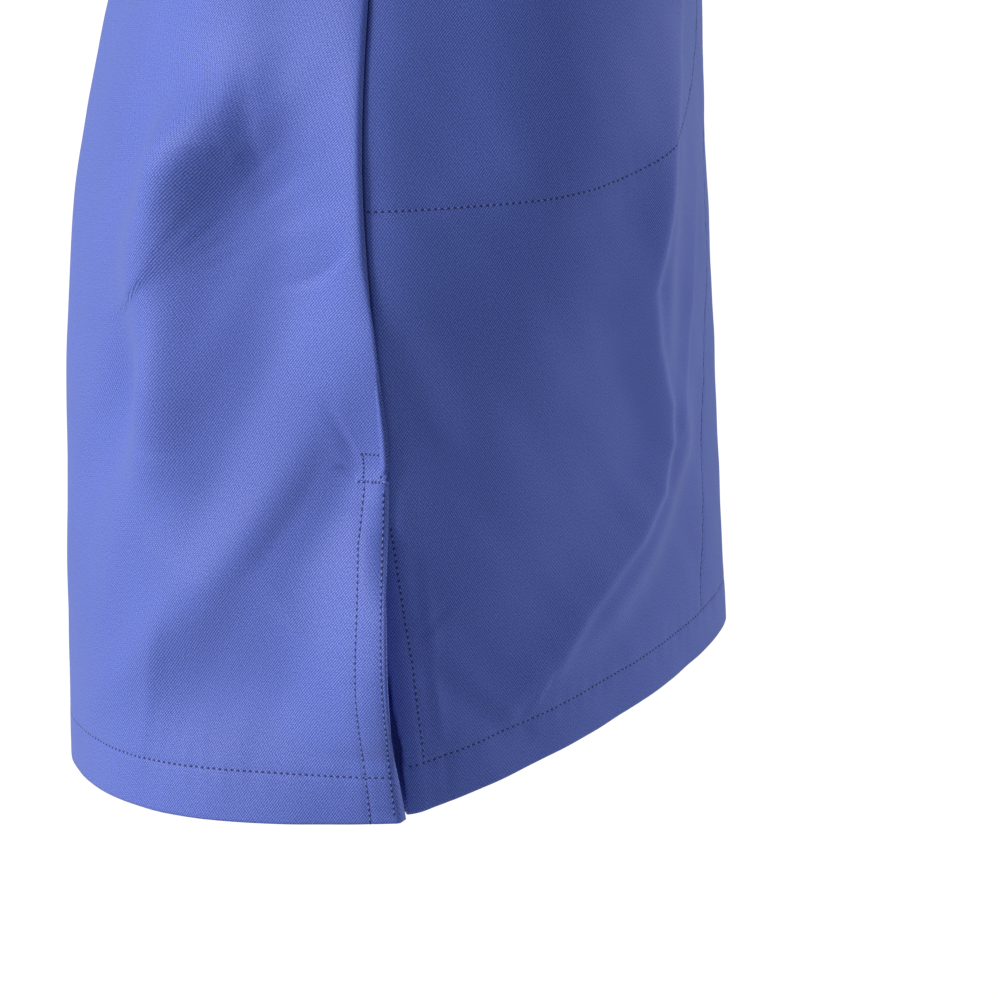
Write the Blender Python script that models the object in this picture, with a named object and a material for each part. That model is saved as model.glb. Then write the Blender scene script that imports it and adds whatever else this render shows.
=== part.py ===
"""A short-sleeved work tunic of twill, in the hollow form that it keeps when it is worn.

Frame: +Z up, the wearer faces -Y, the wearer's right is -X, sizes in metres. The origin lies midway between
the two high shoulder points, where the neck and shoulders of the wearer carry the garment.

Every cut piece is a wall of cloth. A panel is a grid laid through level curves (the rows below), pushed in
and out along its folds, then thickened inwards: once for plain cloth, and more where a hem or facing is
turned. The right front laps over the left one at the centre, and both side seams are open below as vents.
"""

from collections import namedtuple

import bmesh
import bpy
import numpy as np

# Cloth
CLOTH = 0.0012  # the wall of one layer
DOUBLED = 0.0021  # the wall where a hem or facing is turned back
SEAM_GAP = 0.0005  # between two pieces at a seam
HEM = 0.020
NECK_HEM = 0.010
VENT_FACING = 0.012
FRONT_FACING = 0.052
TURN_STEP = 0.003  # over which a doubled edge thins to one layer
# Openings and laps
VENT = 0.145  # height of the side vents above the hem
FRONT_LAP = 0.0125  # each front reaches this far past the centre
LAP_DEPTH = DOUBLED + SEAM_GAP + 0.0002  # how far the left front lies under the right one
LAP_EASE = 0.010  # the width over which it gets there
# Shoulder and neck
SHOULDER_X, SHOULDER_Y, SHOULDER_Z = 0.200, 0.004, -0.046
NECK_X, NECK_Y = 0.080, 0.012  # the high shoulder point, at z = 0
FRONT_NECK_Y, FRONT_NECK_Z = -0.078, -0.092
BACK_NECK_Y, BACK_NECK_Z = 0.062, -0.020
SHOULDER_SHARE = 0.56  # of the panel's top edge
SHOULDER_LIFT = 0.004  # how far the shoulder seam bows up
SHOULDER_EASE, SHOULDER_EASE_UP = 0.45, -0.80  # the cloth arrives at the shoulder seam this much flatter
SHOULDER_PART = 0.0006  # each side of the shoulder seam stands this far from its line
NECK_DIP = 1.6  # how late the neckline turns down from the shoulder
CORNER_REACH = 0.06  # share of the panel that the corner under the arm reaches into
LEVEL_FADE = 0.06  # share of the top edge over which the shoulder gives way to the neckline
# Sleeve
SLEEVE_DROP = 62  # degrees below level in which the sleeve falls
CUFF_X, CUFF_Y, CUFF_Z = 0.306, -0.006, -0.232
CUFF_WIDE, CUFF_DEEP = 0.058, 0.066
SLEEVE_SEAM_GAP = 0.0016
SHOULDER_TILT = 18  # degrees below level in which the sleeve leaves the armhole
HEAD_PULL, CUFF_PULL = 0.36, 0.34  # shares of its length over which it bends down at either end
# Pocket bag, measured from the side seam and from the hem along the cloth
BAG_CLOTH = 0.0010
BAG_REACH = 0.205
BAG_BOTTOM = 0.254
BAG_TOP = 0.440
BAG_CORNER_START, BAG_CORNER_RISE, BAG_CORNER_POWER = 0.070, 0.075, 2.2
BAG_EASE = 0.0014
BAG_EDGE = 0.016  # from the side seam to the bag's own edge
# Colour of the twill, and its roughness
TWILL_BLUE = (0.105, 0.130, 0.470, 1.0)
BAG_BLUE = (0.095, 0.118, 0.430, 1.0)
TWILL_ROUGHNESS = 0.72

Row = namedtuple("Row", "up side_x side_y side_z centre_y centre_z fullness")
# One row for each level curve, from the side to the centre. "up" is its height along the cloth above the
# hem, and "fullness" is the power of its curve: 2 is an ellipse, less is drawn to a point, more is square.
FRONT_ROWS = (
    Row(0.000, 0.199, 0.0100, -0.745, -0.1340, -0.714, 1.45),  # hem
    Row(0.055, 0.198, 0.0138, -0.691, -0.1312, -0.665, 1.50),  # middle of the vent
    Row(0.145, 0.197, 0.0190, -0.600, -0.1268, -0.586, 1.62),  # top of the vent
    Row(0.210, 0.196, 0.0225, -0.535, -0.1238, -0.528, 2.10),  # hip
    Row(0.275, 0.192, 0.0262, -0.470, -0.1205, -0.468, 2.70),  # bottom of the pocket bag
    Row(0.340, 0.183, 0.0240, -0.405, -0.1195, -0.405, 2.60),
    Row(0.395, 0.176, 0.0190, -0.350, -0.1205, -0.350, 2.40),  # waist
    Row(0.440, 0.178, 0.0120, -0.305, -0.1240, -0.305, 2.30),
    Row(0.485, 0.185, 0.0060, -0.260, -0.1300, -0.260, 2.30),  # bust
    Row(0.530, 0.190, 0.0020, -0.215, -0.1280, -0.215, 2.30),  # underarm
    Row(0.570, 0.177, -0.0400, -0.177, -0.1210, -0.182, 2.20),
    Row(0.612, 0.170, -0.0540, -0.135, -0.1090, -0.150, 2.10),  # middle of the armhole
    Row(0.660, 0.177, -0.0420, -0.090, -0.0945, -0.120, 2.10),
)
BACK_ROWS = (
    Row(0.000, 0.208, 0.0113, -0.745, 0.1640, -0.7515, 2.90),  # hem
    Row(0.055, 0.207, 0.0177, -0.690, 0.1620, -0.6950, 2.90),  # middle of the vent
    Row(0.145, 0.197, 0.0190, -0.600, 0.1590, -0.604, 2.90),  # top of the vent
    Row(0.210, 0.196, 0.0225, -0.535, 0.1560, -0.535, 2.90),  # hip
    Row(0.275, 0.192, 0.0262, -0.470, 0.1480, -0.470, 2.80),
    Row(0.340, 0.183, 0.0240, -0.405, 0.1340, -0.405, 2.60),
    Row(0.395, 0.176, 0.0190, -0.350, 0.1220, -0.350, 2.50),  # waist
    Row(0.440, 0.178, 0.0120, -0.305, 0.1180, -0.305, 2.50),
    Row(0.485, 0.185, 0.0060, -0.260, 0.1180, -0.260, 2.50),
    Row(0.530, 0.190, 0.0020, -0.215, 0.1180, -0.215, 2.50),  # underarm
    Row(0.570, 0.178, 0.0440, -0.177, 0.1180, -0.175, 2.40),
    Row(0.612, 0.172, 0.0600, -0.135, 0.1140, -0.130, 2.30),  # middle of the armhole
    Row(0.660, 0.180, 0.0480, -0.090, 0.1020, -0.075, 2.20),
)
TOP_UP = 0.735  # height along the cloth of the shoulder seam
VENT_TOP = 2  # the row at the top of the vents, on whose length the facings are measured
UNDERARM = 9  # the row where the side seam ends and the armhole starts

Fold = namedtuple("Fold", "across0 up0 across1 up1 across2 up2 width height")
# Each fold runs along a curve from its first point to its last, drawn towards the middle one. A point is the
# distance round the body from the side seam and the height along the cloth. A negative height is a trough.
RIGHT_FRONT_FOLDS = (
    Fold(0.162, 0.290, 0.138, 0.190, 0.188, 0.115, 0.014, 0.0044),
    Fold(0.194, 0.150, 0.178, 0.070, 0.078, 0.042, 0.014, 0.0046),
    Fold(0.006, 0.215, 0.016, 0.180, 0.040, 0.135, 0.012, -0.0022),
    Fold(0.012, 0.080, 0.035, 0.055, 0.068, 0.010, 0.015, -0.0030),
    Fold(0.040, 0.420, 0.080, 0.400, 0.130, 0.430, 0.016, -0.0030),
)
LEFT_FRONT_FOLDS = (
    Fold(0.154, 0.310, 0.134, 0.205, 0.176, 0.130, 0.015, 0.0042),
    Fold(0.188, 0.165, 0.170, 0.080, 0.088, 0.036, 0.015, 0.0046),
    Fold(0.008, 0.240, 0.020, 0.190, 0.050, 0.120, 0.014, -0.0026),
    Fold(0.020, 0.100, 0.040, 0.060, 0.060, 0.015, 0.016, -0.0030),
    Fold(0.030, 0.450, 0.080, 0.410, 0.140, 0.420, 0.017, -0.0034),
)
RIGHT_BACK_FOLDS = (
    Fold(-0.027, 0.246, 0.049, 0.093, 0.186, 0.023, 0.0143, 0.0045),
    Fold(0.034, 0.358, 0.042, 0.278, 0.029, 0.248, 0.0161, -0.0029),
    Fold(0.106, 0.273, 0.077, 0.227, 0.158, 0.136, 0.0170, -0.0114),
    Fold(0.075, 0.274, 0.011, 0.239, 0.070, 0.096, 0.0528, -0.0141),
    Fold(0.049, 0.295, 0.109, 0.288, 0.106, 0.154, 0.0181, 0.0223),
    Fold(-0.012, 0.123, 0.002, 0.082, 0.003, 0.029, 0.0255, 0.0204),
    Fold(0.029, 0.071, 0.072, 0.041, 0.113, 0.054, 0.0317, -0.0121),
    Fold(0.018, 0.243, -0.022, 0.267, 0.056, 0.132, 0.0169, 0.0060),
    Fold(0.170, 0.440, 0.215, 0.260, 0.200, 0.005, 0.0280, 0.0050),
    Fold(0.030, 0.430, 0.100, 0.385, 0.190, 0.395, 0.0160, -0.0040),
)
LEFT_BACK_FOLDS = (
    Fold(-0.020, 0.260, 0.052, 0.105, 0.176, 0.030, 0.0150, 0.0042),
    Fold(0.036, 0.350, 0.044, 0.285, 0.031, 0.256, 0.0165, -0.0030),
    Fold(0.102, 0.285, 0.080, 0.238, 0.152, 0.146, 0.0180, -0.0104),
    Fold(0.070, 0.286, 0.014, 0.246, 0.066, 0.108, 0.0500, -0.0130),
    Fold(0.052, 0.306, 0.104, 0.296, 0.102, 0.166, 0.0190, 0.0200),
    Fold(-0.012, 0.128, 0.002, 0.086, 0.004, 0.032, 0.0250, 0.0180),
    Fold(0.032, 0.080, 0.070, 0.048, 0.108, 0.060, 0.0300, -0.0110),
    Fold(0.190, 0.400, 0.160, 0.230, 0.175, 0.005, 0.0280, 0.0054),
    Fold(0.040, 0.400, 0.110, 0.410, 0.200, 0.370, 0.0170, -0.0042),
)
FOLD_END, FOLD_FADE = 0.06, 0.7  # how much of a fold is left at its ends, and how fast it fades towards them
CALM_CENTRE = 0.12  # share of a panel beside its centre in which the folds die out
# Between the vent and the waist both panels stand out at the side seam, which holds their edges together.
STAND_HEIGHT, STAND_WIDTH = 0.008, 0.028
STAND_FROM, STAND_FULL, STAND_FADE, STAND_TO = 0.145, 0.210, 0.300, 0.420  # where it grows and dies out
HOLD_WIDTH, HOLD_FROM = 0.007, 0.085
# The back panel rolls over the side seam in one narrow lip.
ROLL_HEIGHT, ROLL_CREST, ROLL_WIDTH = 0.0032, 0.0033, 0.012
ROLL_FROM, ROLL_FULL, ROLL_FADE, ROLL_TO = 0.060, 0.150, 0.300, 0.420
ROLL_EDGE = 0.6  # how steeply it rises from the seam

# Grid lines of the solids
UP_LINES = 29
FRONT_LINES = 12
BACK_LINES = 12
CENTRE_LINES = 5  # on the front facing
SLEEVE_ROUND = 26
SLEEVE_LINES = 6
ROLL_LINES_END = 0.045  # from the side, where the even lines of a panel start
LAST_LINE = 0.018  # from the centre, where they end
FIRST_EVEN_LINE = 0.045  # above the hem
LAST_SLEEVE_LINE = 0.86  # of the sleeve, above its hem
BAG_COLUMNS, BAG_ROWS = 13, 9
BAG_CROWDING = 1.15  # above 1, the columns of the bag draw together at its rounded front edge
FINE = 160  # points on which a level curve is measured before it is shared out


def share_out(curve, shares):
    """Points on a curve at the given shares of its length."""
    steps = np.linalg.norm(np.diff(curve, axis=0), axis=1)
    along = np.concatenate([[0.0], np.cumsum(steps)])
    places = np.asarray(shares) * along[-1]
    return np.stack([np.interp(places, along, curve[:, k]) for k in range(3)], axis=1)


def level_curve(row, shares):
    """The right half of one level of the body, from the side to the centre."""
    turn = np.linspace(0.0, np.pi / 2, FINE)
    out = np.abs(np.cos(turn)) ** (2 / row.fullness)
    out[-1] = 0.0
    forth = np.abs(np.sin(turn)) ** (2 / row.fullness)
    curve = np.stack(
        [
            -row.side_x * out,
            row.side_y + (row.centre_y - row.side_y) * forth,
            row.side_z + (row.centre_z - row.side_z) * forth,
        ],
        axis=1,
    )
    return share_out(curve, shares)


def top_curve(neck_y, neck_z, shares):
    """The shoulder seam from its outer end to the neck, then the neckline to the centre."""
    along = np.linspace(0.0, 1.0, FINE)[:, None]
    apart = np.sign(neck_y) * SHOULDER_PART
    outer = np.array([-SHOULDER_X, SHOULDER_Y, SHOULDER_Z])
    inner = np.array([-NECK_X, NECK_Y, 0.0])
    seam = outer + (inner - outer) * along
    seam[:, 1] += apart
    seam[:, 2] += SHOULDER_LIFT * np.sin(np.pi * along[:, 0])
    turn = along[:, 0] * np.pi / 2
    neckline = np.stack(
        [
            -NECK_X * np.cos(turn),
            NECK_Y + apart + (neck_y - NECK_Y - apart) * np.sin(turn),
            neck_z * np.sin(turn) ** NECK_DIP,
        ],
        axis=1,
    )
    shares = np.asarray(shares)
    on_seam = share_out(seam, np.clip(shares / SHOULDER_SHARE, 0, 1))
    on_neck = share_out(neckline, np.clip((shares - SHOULDER_SHARE) / (1 - SHOULDER_SHARE), 0, 1))
    return np.where((shares < SHOULDER_SHARE)[:, None], on_seam, on_neck)


def through_rows(curves, knots, ups, corner, level):
    """A smooth surface through the curves, one for each knot. At the underarm the side columns keep a corner.
    At the shoulder seam they arrive level, so that front and back meet in one round shoulder."""
    gaps = np.diff(knots)[:, None, None]
    slopes = np.diff(curves, axis=0) / gaps
    middle = (slopes[1:] * gaps[:-1] + slopes[:-1] * gaps[1:]) / (gaps[1:] + gaps[:-1])
    start = np.concatenate([slopes[:1], middle])
    end = np.concatenate([middle, slopes[-1:]])
    start[UNDERARM] += (slopes[UNDERARM] - start[UNDERARM]) * corner[:, None]
    end[UNDERARM - 1] += (slopes[UNDERARM - 1] - end[UNDERARM - 1]) * corner[:, None]
    end[-1] += end[-1] * level[:, None] * np.array([0.0, SHOULDER_EASE, SHOULDER_EASE_UP])
    place = np.clip(np.searchsorted(knots, ups, side="right") - 1, 0, len(knots) - 2)
    span = gaps[place]
    t = (ups - knots[place])[:, None, None] / span
    ease = t * t * (3 - 2 * t)
    lead = t * (1 - t) ** 2
    trail = t * t * (t - 1)
    return (
        curves[place] * (1 - ease)
        + curves[place + 1] * ease
        + span * (start[place] * lead + end[place] * trail)
    )


def length_of(row):
    """How far one level of a panel runs from the side to the centre."""
    curve = level_curve(row, np.linspace(0, 1, FINE))
    return np.linalg.norm(np.diff(curve, axis=0), axis=1).sum()


def half_body(rows, neck_y, neck_z, shares, ups):
    """Points of the right half of the front or back, and how far round each one lies from the side."""
    knots = np.array([row.up for row in rows] + [TOP_UP])
    curves = [level_curve(row, shares) for row in rows]
    curves.append(top_curve(neck_y, neck_z, shares))
    corner = np.exp(-((shares / CORNER_REACH) ** 2))
    level = np.clip((SHOULDER_SHARE + LEVEL_FADE - shares) / (2 * LEVEL_FADE), 0, 1)
    points = through_rows(np.array(curves), knots, ups, corner, level)
    girth = np.interp(ups, knots[:-1], [length_of(row) for row in rows])
    return points, girth[:, None] * shares[None, :]


def folds_at(folds, round_body, up):
    """How far the folds push the cloth out at each point."""
    along = np.linspace(0.0, 1.0, 25)
    push = np.zeros_like(round_body)
    for fold in folds:
        first, middle, last = (np.array(p) for p in (fold[0:2], fold[2:4], fold[4:6]))
        line = ((1 - along) ** 2)[:, None] * first + (2 * along * (1 - along))[:, None] * middle
        line = line + (along**2)[:, None] * last
        away = np.hypot(round_body[..., None] - line[:, 0], up[..., None] - line[:, 1])
        nearest = away.min(axis=-1)
        place = along[away.argmin(axis=-1)]
        fade = np.sin(np.pi * (FOLD_END + (1 - 2 * FOLD_END) * place)) ** FOLD_FADE
        push += fold.height * fade * np.exp(-((nearest / fold.width) ** 2))
    return push


def smooth(place, start, end):
    """0 at the start, 1 at the end, and eased between them."""
    share = np.clip((place - start) / (end - start), 0, 1)
    return share * share * (3 - 2 * share)


def held_at(round_body, up):
    """The share of a fold that is left beside the side seam, where the other panel holds the edge."""
    return 1 - np.exp(-((round_body / HOLD_WIDTH) ** 2)) * smooth(up, HOLD_FROM, VENT)


def stand_at(round_body, up):
    """How far both panels stand out beside the side seam."""
    rise = STAND_HEIGHT * np.exp(-((round_body / STAND_WIDTH) ** 2))
    return rise * smooth(up, STAND_FROM, STAND_FULL) * smooth(up, STAND_TO, STAND_FADE)


def roll_at(round_body, up):
    """The lip in which the back panel rolls over the side seam."""
    rise = np.sin(np.clip(round_body / ROLL_CREST, 0, 1) * np.pi / 2) ** ROLL_EDGE
    fall = np.exp(-((np.clip(round_body - ROLL_CREST, 0, None) / ROLL_WIDTH) ** 2))
    return ROLL_HEIGHT * rise * fall * smooth(up, ROLL_FROM, ROLL_FULL) * smooth(up, ROLL_TO, ROLL_FADE)


def outward(points, sign):
    """Unit normals of a grid of points, turned away from the body by the sign."""
    by_row, by_column = np.gradient(points, axis=0), np.gradient(points, axis=1)
    normal = np.cross(by_row, by_column) * sign
    return normal / np.linalg.norm(normal, axis=2, keepdims=True)


def front_half(shares, ups, folds):
    """The front on the wearer's right, as points and outward normals. Shares past 1 lie beyond the centre."""
    near = np.where(shares > 1, 2 - shares, shares)
    points, round_body = half_body(FRONT_ROWS, FRONT_NECK_Y, FRONT_NECK_Z, near, ups)
    points[:, shares > 1, 0] *= -1
    normal = outward(points, -1)
    up = np.broadcast_to(ups[:, None], round_body.shape)
    calm = np.clip((1 - near) / CALM_CENTRE, 0, 1)
    push = folds_at(folds, round_body, up) * calm * held_at(round_body, up) + stand_at(round_body, up)
    return points + normal * push[..., None], normal


def back_half(shares, ups, folds):
    """The back on the wearer's right, as points and outward normals."""
    points, round_body = half_body(BACK_ROWS, BACK_NECK_Y, BACK_NECK_Z, shares, ups)
    normal = outward(points, 1)
    up = np.broadcast_to(ups[:, None], round_body.shape)
    calm = np.clip((1 - shares) / CALM_CENTRE, 0, 1)
    push = folds_at(folds, round_body, up) * calm * held_at(round_body, up)
    push += stand_at(round_body, up) + roll_at(round_body, up)
    return points + normal * push[..., None], normal


def thinning(distance, width):
    """1 on a turned edge of that width, 0 beyond it."""
    return np.clip((width + TURN_STEP - distance) / TURN_STEP, 0, 1)


def twill(name, colour):
    """A matt woven cloth of one colour."""
    material = bpy.data.materials.new(name)
    material.use_nodes = True
    shader = material.node_tree.nodes["Principled BSDF"]
    shader.inputs["Base Color"].default_value = colour
    shader.inputs["Roughness"].default_value = TWILL_ROUGHNESS
    return material


def cloth_piece(name, points, doubled, material, thick=DOUBLED, thin=CLOTH, ring=False):
    """A wall of cloth with these outer points, in rows that may close into rings. Doubled is 1 where the
    edge is turned."""
    rows, columns = points.shape[:2]
    shell = bmesh.new()
    corners = [[shell.verts.new(point) for point in row] for row in points]
    last = columns if ring else columns - 1
    for low, high in zip(corners[:-1], corners[1:]):
        for k in range(last):
            after = (k + 1) % columns
            shell.faces.new((low[k], low[after], high[after], high[k]))
    mesh = bpy.data.meshes.new(name)
    shell.to_mesh(mesh)
    shell.free()
    mesh.shade_smooth()
    mesh.materials.append(material)
    piece = bpy.data.objects.new(name, mesh)
    bpy.context.scene.collection.objects.link(piece)
    group = piece.vertex_groups.new(name="doubled")
    for k, weight in enumerate(doubled.ravel()):
        group.add([k], float(weight), "REPLACE")
    wall = piece.modifiers.new("Wall", "SOLIDIFY")
    wall.thickness = thick
    wall.offset = -1.0
    wall.vertex_group = group.name
    wall.thickness_vertex_group = thin / thick
    return piece


def mirrored(points):
    """The same grid on the wearer's left, with its faces still pointing outwards."""
    return points[:, ::-1] * np.array([-1.0, 1.0, 1.0])


def panel_lines(count):
    """Shares of a panel's half width: close together at the side, where it rolls and is faced, then even."""
    girth = length_of(FRONT_ROWS[VENT_TOP])
    side = np.array([SEAM_GAP / 2, 0.004, 0.008, VENT_FACING, VENT_FACING + TURN_STEP, 0.022, 0.032])
    spread = np.linspace(ROLL_LINES_END, girth - LAST_LINE, count)
    return np.concatenate([side, spread]) / girth


def up_lines():
    """Heights of the rows: close together at the hem and at the neck, where the cloth is doubled."""
    low = [0.0, HEM, HEM + TURN_STEP]
    spread = np.linspace(FIRST_EVEN_LINE, TOP_UP - NECK_HEM - TURN_STEP, UP_LINES - 5)
    return np.concatenate([low, spread, [TOP_UP - NECK_HEM, TOP_UP]])


def add_front(name, left, material):
    """One front, from its side seam to its faced centre edge. The left one dips under the right one."""
    girth = length_of(FRONT_ROWS[VENT_TOP])
    edge = 1 + FRONT_LAP / girth
    inner = edge - FRONT_FACING / girth
    shares = panel_lines(FRONT_LINES)
    shares = np.append(shares[shares < inner - LAST_LINE / girth], inner - TURN_STEP / girth)
    shares = np.concatenate([shares, np.linspace(inner, 1.0, CENTRE_LINES), [edge]])
    if left:
        easing = FRONT_LAP + np.array([0.0, 0.5, 1.0]) * LAP_EASE
        shares = np.unique(np.append(shares, 1 - easing / girth))
    ups = up_lines()
    folds = LEFT_FRONT_FOLDS if left else RIGHT_FRONT_FOLDS
    points, normal = front_half(shares, ups, folds)
    from_side = shares[None, :] * girth
    from_edge = (edge - shares[None, :]) * girth
    up = ups[:, None]
    doubled = np.maximum(thinning(up, HEM), thinning(from_edge, FRONT_FACING))
    vent = thinning(from_side, VENT_FACING) * (up < VENT)
    neck = thinning(TOP_UP - up, NECK_HEM) * (shares[None, :] >= SHOULDER_SHARE)
    doubled = np.maximum(doubled, np.maximum(vent, neck))
    if left:
        under = np.clip(((shares - 1) * girth + FRONT_LAP + LAP_EASE) / LAP_EASE, 0, 1)
        dip = LAP_DEPTH * under * under * (3 - 2 * under)
        points = points - normal * dip[None, :, None]
        points, doubled = mirrored(points), doubled[:, ::-1]
    return cloth_piece(name, points, doubled, material)


def add_back(name, material):
    """The back, cut in one piece from side seam to side seam."""
    girth = length_of(FRONT_ROWS[VENT_TOP])
    shares = panel_lines(BACK_LINES)
    ups = up_lines()
    right, _ = back_half(np.append(shares, 1.0), ups, RIGHT_BACK_FOLDS)
    left, _ = back_half(shares, ups, LEFT_BACK_FOLDS)
    points = np.concatenate([mirrored(left)[:, ::-1], right[:, ::-1]], axis=1)
    from_side = np.concatenate([shares, np.append(shares, 1.0)[::-1]])[None, :] * girth
    up = ups[:, None]
    doubled = np.maximum(thinning(up, HEM), thinning(from_side, VENT_FACING) * (up < VENT))
    neck = thinning(TOP_UP - up, NECK_HEM) * (from_side >= SHOULDER_SHARE * girth)
    return cloth_piece(name, points, np.maximum(doubled, neck), material)


def bag_bottom(reach):
    """Height of the lower edge of the pocket bag, which runs level and then curves up to its front edge."""
    turn = np.clip((reach - BAG_CORNER_START) / (BAG_REACH - BAG_CORNER_START), 0, 1)
    return BAG_BOTTOM + BAG_CORNER_RISE * (1 - (1 - turn**BAG_CORNER_POWER) ** (1 / BAG_CORNER_POWER))


def falling_line(tilt):
    """A direction outwards on the wearer's right, tilted below level by that many degrees."""
    return np.array([-np.cos(np.radians(tilt)), 0.0, -np.sin(np.radians(tilt))])


def sleeve_rings(ups):
    """The right sleeve: rings from armhole to cuff. Each starts under the arm and goes up the front."""
    half = SLEEVE_ROUND // 2
    armhole_ups = np.linspace(FRONT_ROWS[UNDERARM].up, TOP_UP, FINE)
    beside = np.array([0.0, 0.01])
    front, _ = front_half(beside, armhole_ups, ())
    back, _ = back_half(beside, armhole_ups, ())
    rising = share_out(front[:, 0], np.linspace(0, 1, half + 1))
    falling = share_out(back[::-1, 0], np.linspace(0, 1, half + 1))
    top = (rising[-1] + falling[0]) / 2
    armhole = np.concatenate([rising[:-1], [top], falling[1:-1]])
    turn = np.arange(SLEEVE_ROUND) * 2 * np.pi / SLEEVE_ROUND
    arm = falling_line(SLEEVE_DROP)
    over = np.array([arm[2], 0.0, -arm[0]])
    centre = np.array([-CUFF_X, CUFF_Y, CUFF_Z])
    cuff = centre - np.cos(turn)[:, None] * over * CUFF_WIDE
    cuff[:, 1] -= np.sin(turn) * CUFF_DEEP
    lead = falling_line(SHOULDER_TILT)
    reach = np.linalg.norm(cuff - armhole, axis=1)[:, None]
    armhole = armhole + lead * SLEEVE_SEAM_GAP
    t = np.asarray(ups)[:, None, None]
    return (
        armhole * (1 - t) ** 3
        + (armhole + lead * reach * HEAD_PULL) * 3 * t * (1 - t) ** 2
        + (cuff - arm * reach * CUFF_PULL) * 3 * t * t * (1 - t)
        + cuff * t**3
    ), reach


def add_sleeve(name, left, material):
    """A set-in short sleeve, with a hem turned at the cuff."""
    ups = np.append(np.linspace(0.0, LAST_SLEEVE_LINE, SLEEVE_LINES - 1), [0.895, 0.91, 1.0])
    points, reach = sleeve_rings(ups)
    doubled = thinning((1 - ups)[:, None] * reach[:, 0], HEM)
    if left:
        points = points * np.array([-1.0, 1.0, 1.0])
    else:
        points, doubled = points[:, ::-1], doubled[:, ::-1]
    return cloth_piece(name, points, doubled, material, ring=True)


def add_pocket_bag(name, left, material):
    """The bag of the side-seam pocket, as one layer behind the front."""
    girth = length_of(FRONT_ROWS[VENT_TOP])
    crowd = np.sin(np.linspace(0.0, 1.0, BAG_COLUMNS) * np.pi / 2) ** BAG_CROWDING
    reach = BAG_EDGE + (BAG_REACH - BAG_EDGE) * crowd
    low = bag_bottom(reach)
    folds = LEFT_FRONT_FOLDS if left else RIGHT_FRONT_FOLDS
    levels = np.linspace(BAG_BOTTOM, BAG_TOP, FINE)
    points, normal = front_half(reach / girth, levels, folds)
    behind = points - normal * (CLOTH + SEAM_GAP + BAG_EASE)
    rows = []
    for climb in np.linspace(0.0, 1.0, BAG_ROWS):
        ups = low + (BAG_TOP - low) * climb
        rows.append([[np.interp(up, levels, behind[:, c, k]) for k in range(3)] for c, up in enumerate(ups)])
    points = np.array(rows)
    if left:
        points = mirrored(points)
    doubled = np.ones(points.shape[:2])
    return cloth_piece(name, points, doubled, material, thick=BAG_CLOTH, thin=BAG_CLOTH)


def main():
    for thing in list(bpy.data.objects):
        bpy.data.objects.remove(thing, do_unlink=True)
    blue = twill("twill_blue", TWILL_BLUE)
    add_front("front_right", False, blue)
    add_front("front_left", True, blue)
    add_back("back", blue)
    lining = twill("pocketing_blue", BAG_BLUE)
    for side, left in (("right", False), ("left", True)):
        add_sleeve("sleeve_" + side, left, blue)
        add_pocket_bag("pocket_bag_" + side, left, lining)


main()
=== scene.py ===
"""The looks of a worn work tunic: blue twill with turned hems, side vents and stitched-through pocket bags.

Metres, +Z up. The front faces -Y, the tunic's own right is -X, and the camera looks at its lower right side.
"""

from collections import namedtuple

import bmesh
import bpy
import numpy as np
from mathutils import Matrix, Vector


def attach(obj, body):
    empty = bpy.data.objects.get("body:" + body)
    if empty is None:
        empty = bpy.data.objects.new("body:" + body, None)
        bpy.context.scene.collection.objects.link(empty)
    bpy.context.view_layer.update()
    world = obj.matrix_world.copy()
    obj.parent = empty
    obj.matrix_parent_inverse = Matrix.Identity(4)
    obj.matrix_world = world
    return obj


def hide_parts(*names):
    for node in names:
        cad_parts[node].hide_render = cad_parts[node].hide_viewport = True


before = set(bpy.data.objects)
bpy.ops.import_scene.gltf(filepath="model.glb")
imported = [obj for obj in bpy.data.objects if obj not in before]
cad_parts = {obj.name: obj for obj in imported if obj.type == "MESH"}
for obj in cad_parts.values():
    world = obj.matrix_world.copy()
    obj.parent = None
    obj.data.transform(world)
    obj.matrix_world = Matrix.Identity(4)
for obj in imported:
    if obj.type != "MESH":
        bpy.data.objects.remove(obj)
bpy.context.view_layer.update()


# ---- Fronts ----
# The right and left front, cut from a matt blue polyester and cotton twill whose wales climb to the right.
# Hem and vents are turned and stitched down, and a facing runs down the centre edge, where the right front
# laps over the left one. Every piece has a UV map in metres, so that the weave follows the cloth.
WALE_PERIOD, WALE_ANGLE = 0.00091, 53.6
WOBBLE_SCALE, WOBBLE, YARN_SHIFT, YARN_RATE = 170.0, 0.5, 0.33, 0.72
SLUB_SCALE, SLUB, PATCH_SCALE, PATCH_DEPTH = 1500.0, 1.7, 14.0, 0.16
ROUGHNESS, WALE_POLISH, WEAVE_BUMP = 0.70, 0.12, 0.00006
TWILL_DEEP, TWILL_LIGHT = (0.040, 0.067, 0.335, 1.0), (0.168, 0.236, 0.760, 1.0)


def maths(tree, operation, first, second=None, third=None, clamp=False):
    """A Math node, fed by sockets or by numbers."""
    node = tree.nodes.new("ShaderNodeMath")
    node.operation, node.use_clamp = operation, clamp
    for slot, value in enumerate((first, second, third)):
        if value is None:
            continue
        if isinstance(value, (int, float)):
            node.inputs[slot].default_value = value
        else:
            tree.links.new(value, node.inputs[slot])
    return node.outputs[0]


def noise(tree, coordinates, scale, detail):
    """A Noise Texture node that reads these coordinates."""
    node = tree.nodes.new("ShaderNodeTexNoise")
    node.inputs["Scale"].default_value, node.inputs["Detail"].default_value = scale, detail
    tree.links.new(coordinates, node.inputs["Vector"])
    return node.outputs[0]


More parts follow.
